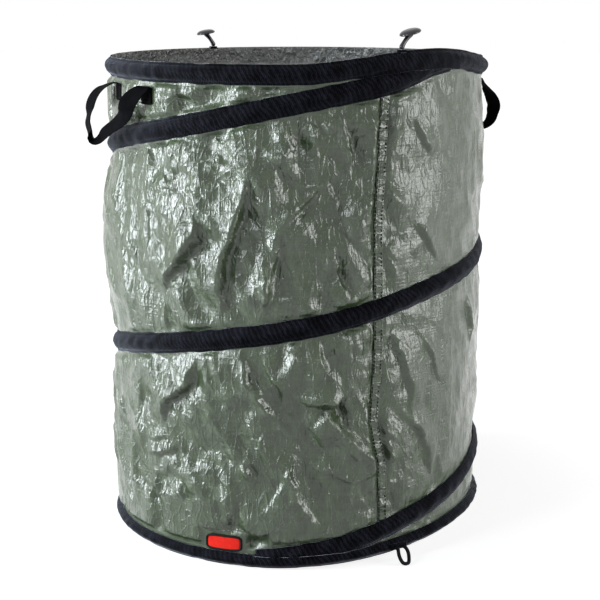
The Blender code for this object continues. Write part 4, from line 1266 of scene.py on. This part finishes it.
def make_tab(end, bearing):
    """A folded tab sewn on the base tape's crown, with two rows of stitches."""
    out = WALL_RADIUS + 2.0 * GAP + BASE_TAPE[1] + TAPE_THICKNESS + TAB_THICKNESS / 2.0
    middle = float(base_height(bearing))
    middles = place(bearing + turned_by(np.linspace(-TAB_WIDTH / 2.0, TAB_WIDTH / 2.0, 30)), out, middle)
    faces = unit(middles * (1.0, 1.0, 0.0))
    tab = ribbon(f"{end}_tab", middles, upward(-1.0), faces, TAB_HEIGHT, TAB_THICKNESS, "black_tape_woven")
    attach(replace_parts(tab, f"{end}_loop_tab"), "base")
    knots = np.linspace(-0.0095, 0.0095, 8)
    starts, ends = (
        np.concatenate([
            place(bearing + turned_by(row), out + TAB_THICKNESS / 2.0 - 0.0001, middle + height)
            for height in (-0.0022, 0.0022)
        ])
        for row in (knots[:-1] + 0.0004, knots[1:] - 0.0004)
    )
    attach(stitches(f"{end}_tab_stitches", starts, ends, 0.0003, "black_thread"), "base")


def make_loop(end, bearing):
    """An elastic cord bent into a loop on the floor; the points repeat the source's route."""
    thick = CORD_DIAMETER / 2.0
    out = 3.0 * GAP + BASE_TAPE[1] + TAPE_THICKNESS + TAB_THICKNESS + thick
    root = place(bearing, WALL_RADIUS + out, float(base_height(bearing)) - 0.0033 + thick)
    turn = np.linspace(0.0, math.pi, 41)
    forward = clamp(np.sin(turn)) ** 0.9
    sunk = (LOOP_CLEARANCE + thick - root[2]) * ramp(forward, 0.0, 1.0)
    spread = (LOOP_WIDTH / 2.0 - thick) * np.cos(turn) * (0.72 + 0.28 * ramp(forward * 2.0, 0.0, 1.0))
    reach = thick + (LOOP_REACH - 3.0 * thick) * forward
    path = root + np.outer(spread, along(bearing)) + np.outer(reach, radial(bearing))
    path = path + np.outer(sunk, upward(1.0))
    tucked = path[[0, -1]] - radial(bearing) * thick * 1.6
    path = np.concatenate([tucked[:1], path, tucked[1:]])
    cord = tube_piece(f"{end}_loop_cord", path, thick, "elastic_cord_braid", 16)
    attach(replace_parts(cord, f"{end}_loop"), f"{end}_loop")
    return cord, path


# Light, floor and camera


def seen_directly(tree):
    """1 for camera, glossy and transmission rays, 0 for the rays that light the bag."""
    rays = add(tree, "LightPath").outputs
    passed_on = calc(tree, "MAXIMUM", rays["Is Glossy Ray"], rays["Is Transmission Ray"])
    return calc(tree, "MAXIMUM", rays["Is Camera Ray"], passed_on)


def make_stage():
    """A pale floor that keeps the bag's shadow, soft lamps at left, right and front, and the world."""
    white = (1.0, 1.0, 1.0)
    tree = new_finish("studio_floor", (0.42, 0.42, 0.42), 0.9, specular_ior_level=0.1)
    off = vector(tree, "LENGTH", object_of(tree), output="Value")
    far = add(tree, "MapRange", {"Value": off, "From Min": 0.26, "From Max": 0.75},
              interpolation_type="SMOOTHSTEP").outputs["Result"]
    lift = scaled(tree, seen_directly(tree), scaled(tree, far, 0.20, 0.80))
    glow = add(tree, "Emission", {"Color": (*white, 1.0), "Strength": lift})
    both = add(tree, "AddShader", {0: tree.nodes["Principled BSDF"].outputs[0], 1: glow.outputs[0]})
    tree.links.new(both.outputs[0], tree.nodes["Material Output"].inputs["Surface"])
    corners = np.array([[(-1.0, 1.0, 0.0), (1.0, 1.0, 0.0)], [(-1.0, -1.0, 0.0), (1.0, -1.0, 0.0)]])
    floor = surface("studio_floor", corners * 12.0 - upward(0.0004), "studio_floor", wrap=(False, False))
    floor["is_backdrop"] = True

    world = bpy.context.scene.world = bpy.data.worlds.new("studio")
    world.use_nodes = True
    back = world.node_tree.nodes["Background"].inputs
    back["Color"].default_value = (*white, 1.0)
    lit = scaled(world.node_tree, seen_directly(world.node_tree), 0.91, 0.09)
    world.node_tree.links.new(lit, back["Strength"])

    cool = (0.95, 1.0, 1.06)
    for name, bearing, distance, height, width, tall, power, colour in (
        ("left_softbox", 192.0, 1.55, 0.62, 0.46, 1.2, 37.0, cool),
        ("right_softbox", 338.0, 1.9, 0.62, 0.9, 1.2, 24.0, white),
        ("front_softbox", 225.0, 1.60, 1.10, 0.45, 0.8, 10.0, cool),
    ):
        lamp = bpy.data.lights.new(name, "AREA")
        lamp.shape, lamp.size, lamp.size_y, lamp.energy = "RECTANGLE", width, tall, power
        lamp.color = colour
        made = link(name, lamp)
        made.location = place(bearing, distance, height)
        drop = math.atan2(height - 0.28, distance)
        made.rotation_euler = (math.pi / 2.0 - drop, 0.0, math.radians(bearing) + math.pi / 2.0)


def make_camera():
    """The photograph's viewpoint."""
    data = bpy.data.cameras.new("photo_camera")
    data.lens, data.sensor_width = 89.87, 36.0
    made = link("photo_camera", data)
    made.location = (0.00434, -1.81193, 0.64982)
    made.rotation_euler = (math.radians(77.98), 0.0, 0.0)
    bpy.context.scene.camera = made


def main():
    """Camera and finishes first, then cords, cloth, tapes, straps, small parts, light."""
    bpy.context.scene.view_settings.view_transform = "Standard"
    make_camera()
    for finish in (tarpaulin, lining_finish, tape_finish, webbing_finish, moulded_finish, elastic_finish):
        finish()
    thread_finish("black_thread", (0.002, 0.002, 0.0025))
    thread_finish("green_thread", (0.004, 0.006, 0.004))
    label_finish()
    metal_finish("spring_steel_drawn", (0.10, 0.10, 0.11), 0.45, (900.0, 900.0, 60.0))
    metal_finish("crimp_aluminium_pressed", (0.20, 0.20, 0.21), 0.5, (300.0, 300.0, 900.0))
    for end, (bearing, _, _) in TOGGLES.items():
        cord, path = make_loop(end, bearing)
    soft = [*make_wall(), *make_tapes(), *make_seam(), *make_label(), make_wire()]
    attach(make_base(), "base")
    for piece in soft:
        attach(piece, "base")
    make_handle("left", LEFT_HANDLE, LEFT_COURSE)
    make_handle("right", RIGHT_HANDLE, RIGHT_COURSE)
    for end, (bearing, lean, tilt) in TOGGLES.items():
        make_saddle(end, bearing)
        make_toggle(end, bearing, lean, tilt)
        make_tab(end, bearing)
    for crimp in ("rim_crimp", "base_crimp"):
        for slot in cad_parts[crimp].material_slots:
            slot.material = bpy.data.materials["crimp_aluminium_pressed"]
    for piece in soft:
        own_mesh(piece)
    make_stage()
    boxes = {"cad": [list(corner) for corner in SOLID_BOX], "visual": [list(corner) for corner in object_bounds()]}


main()
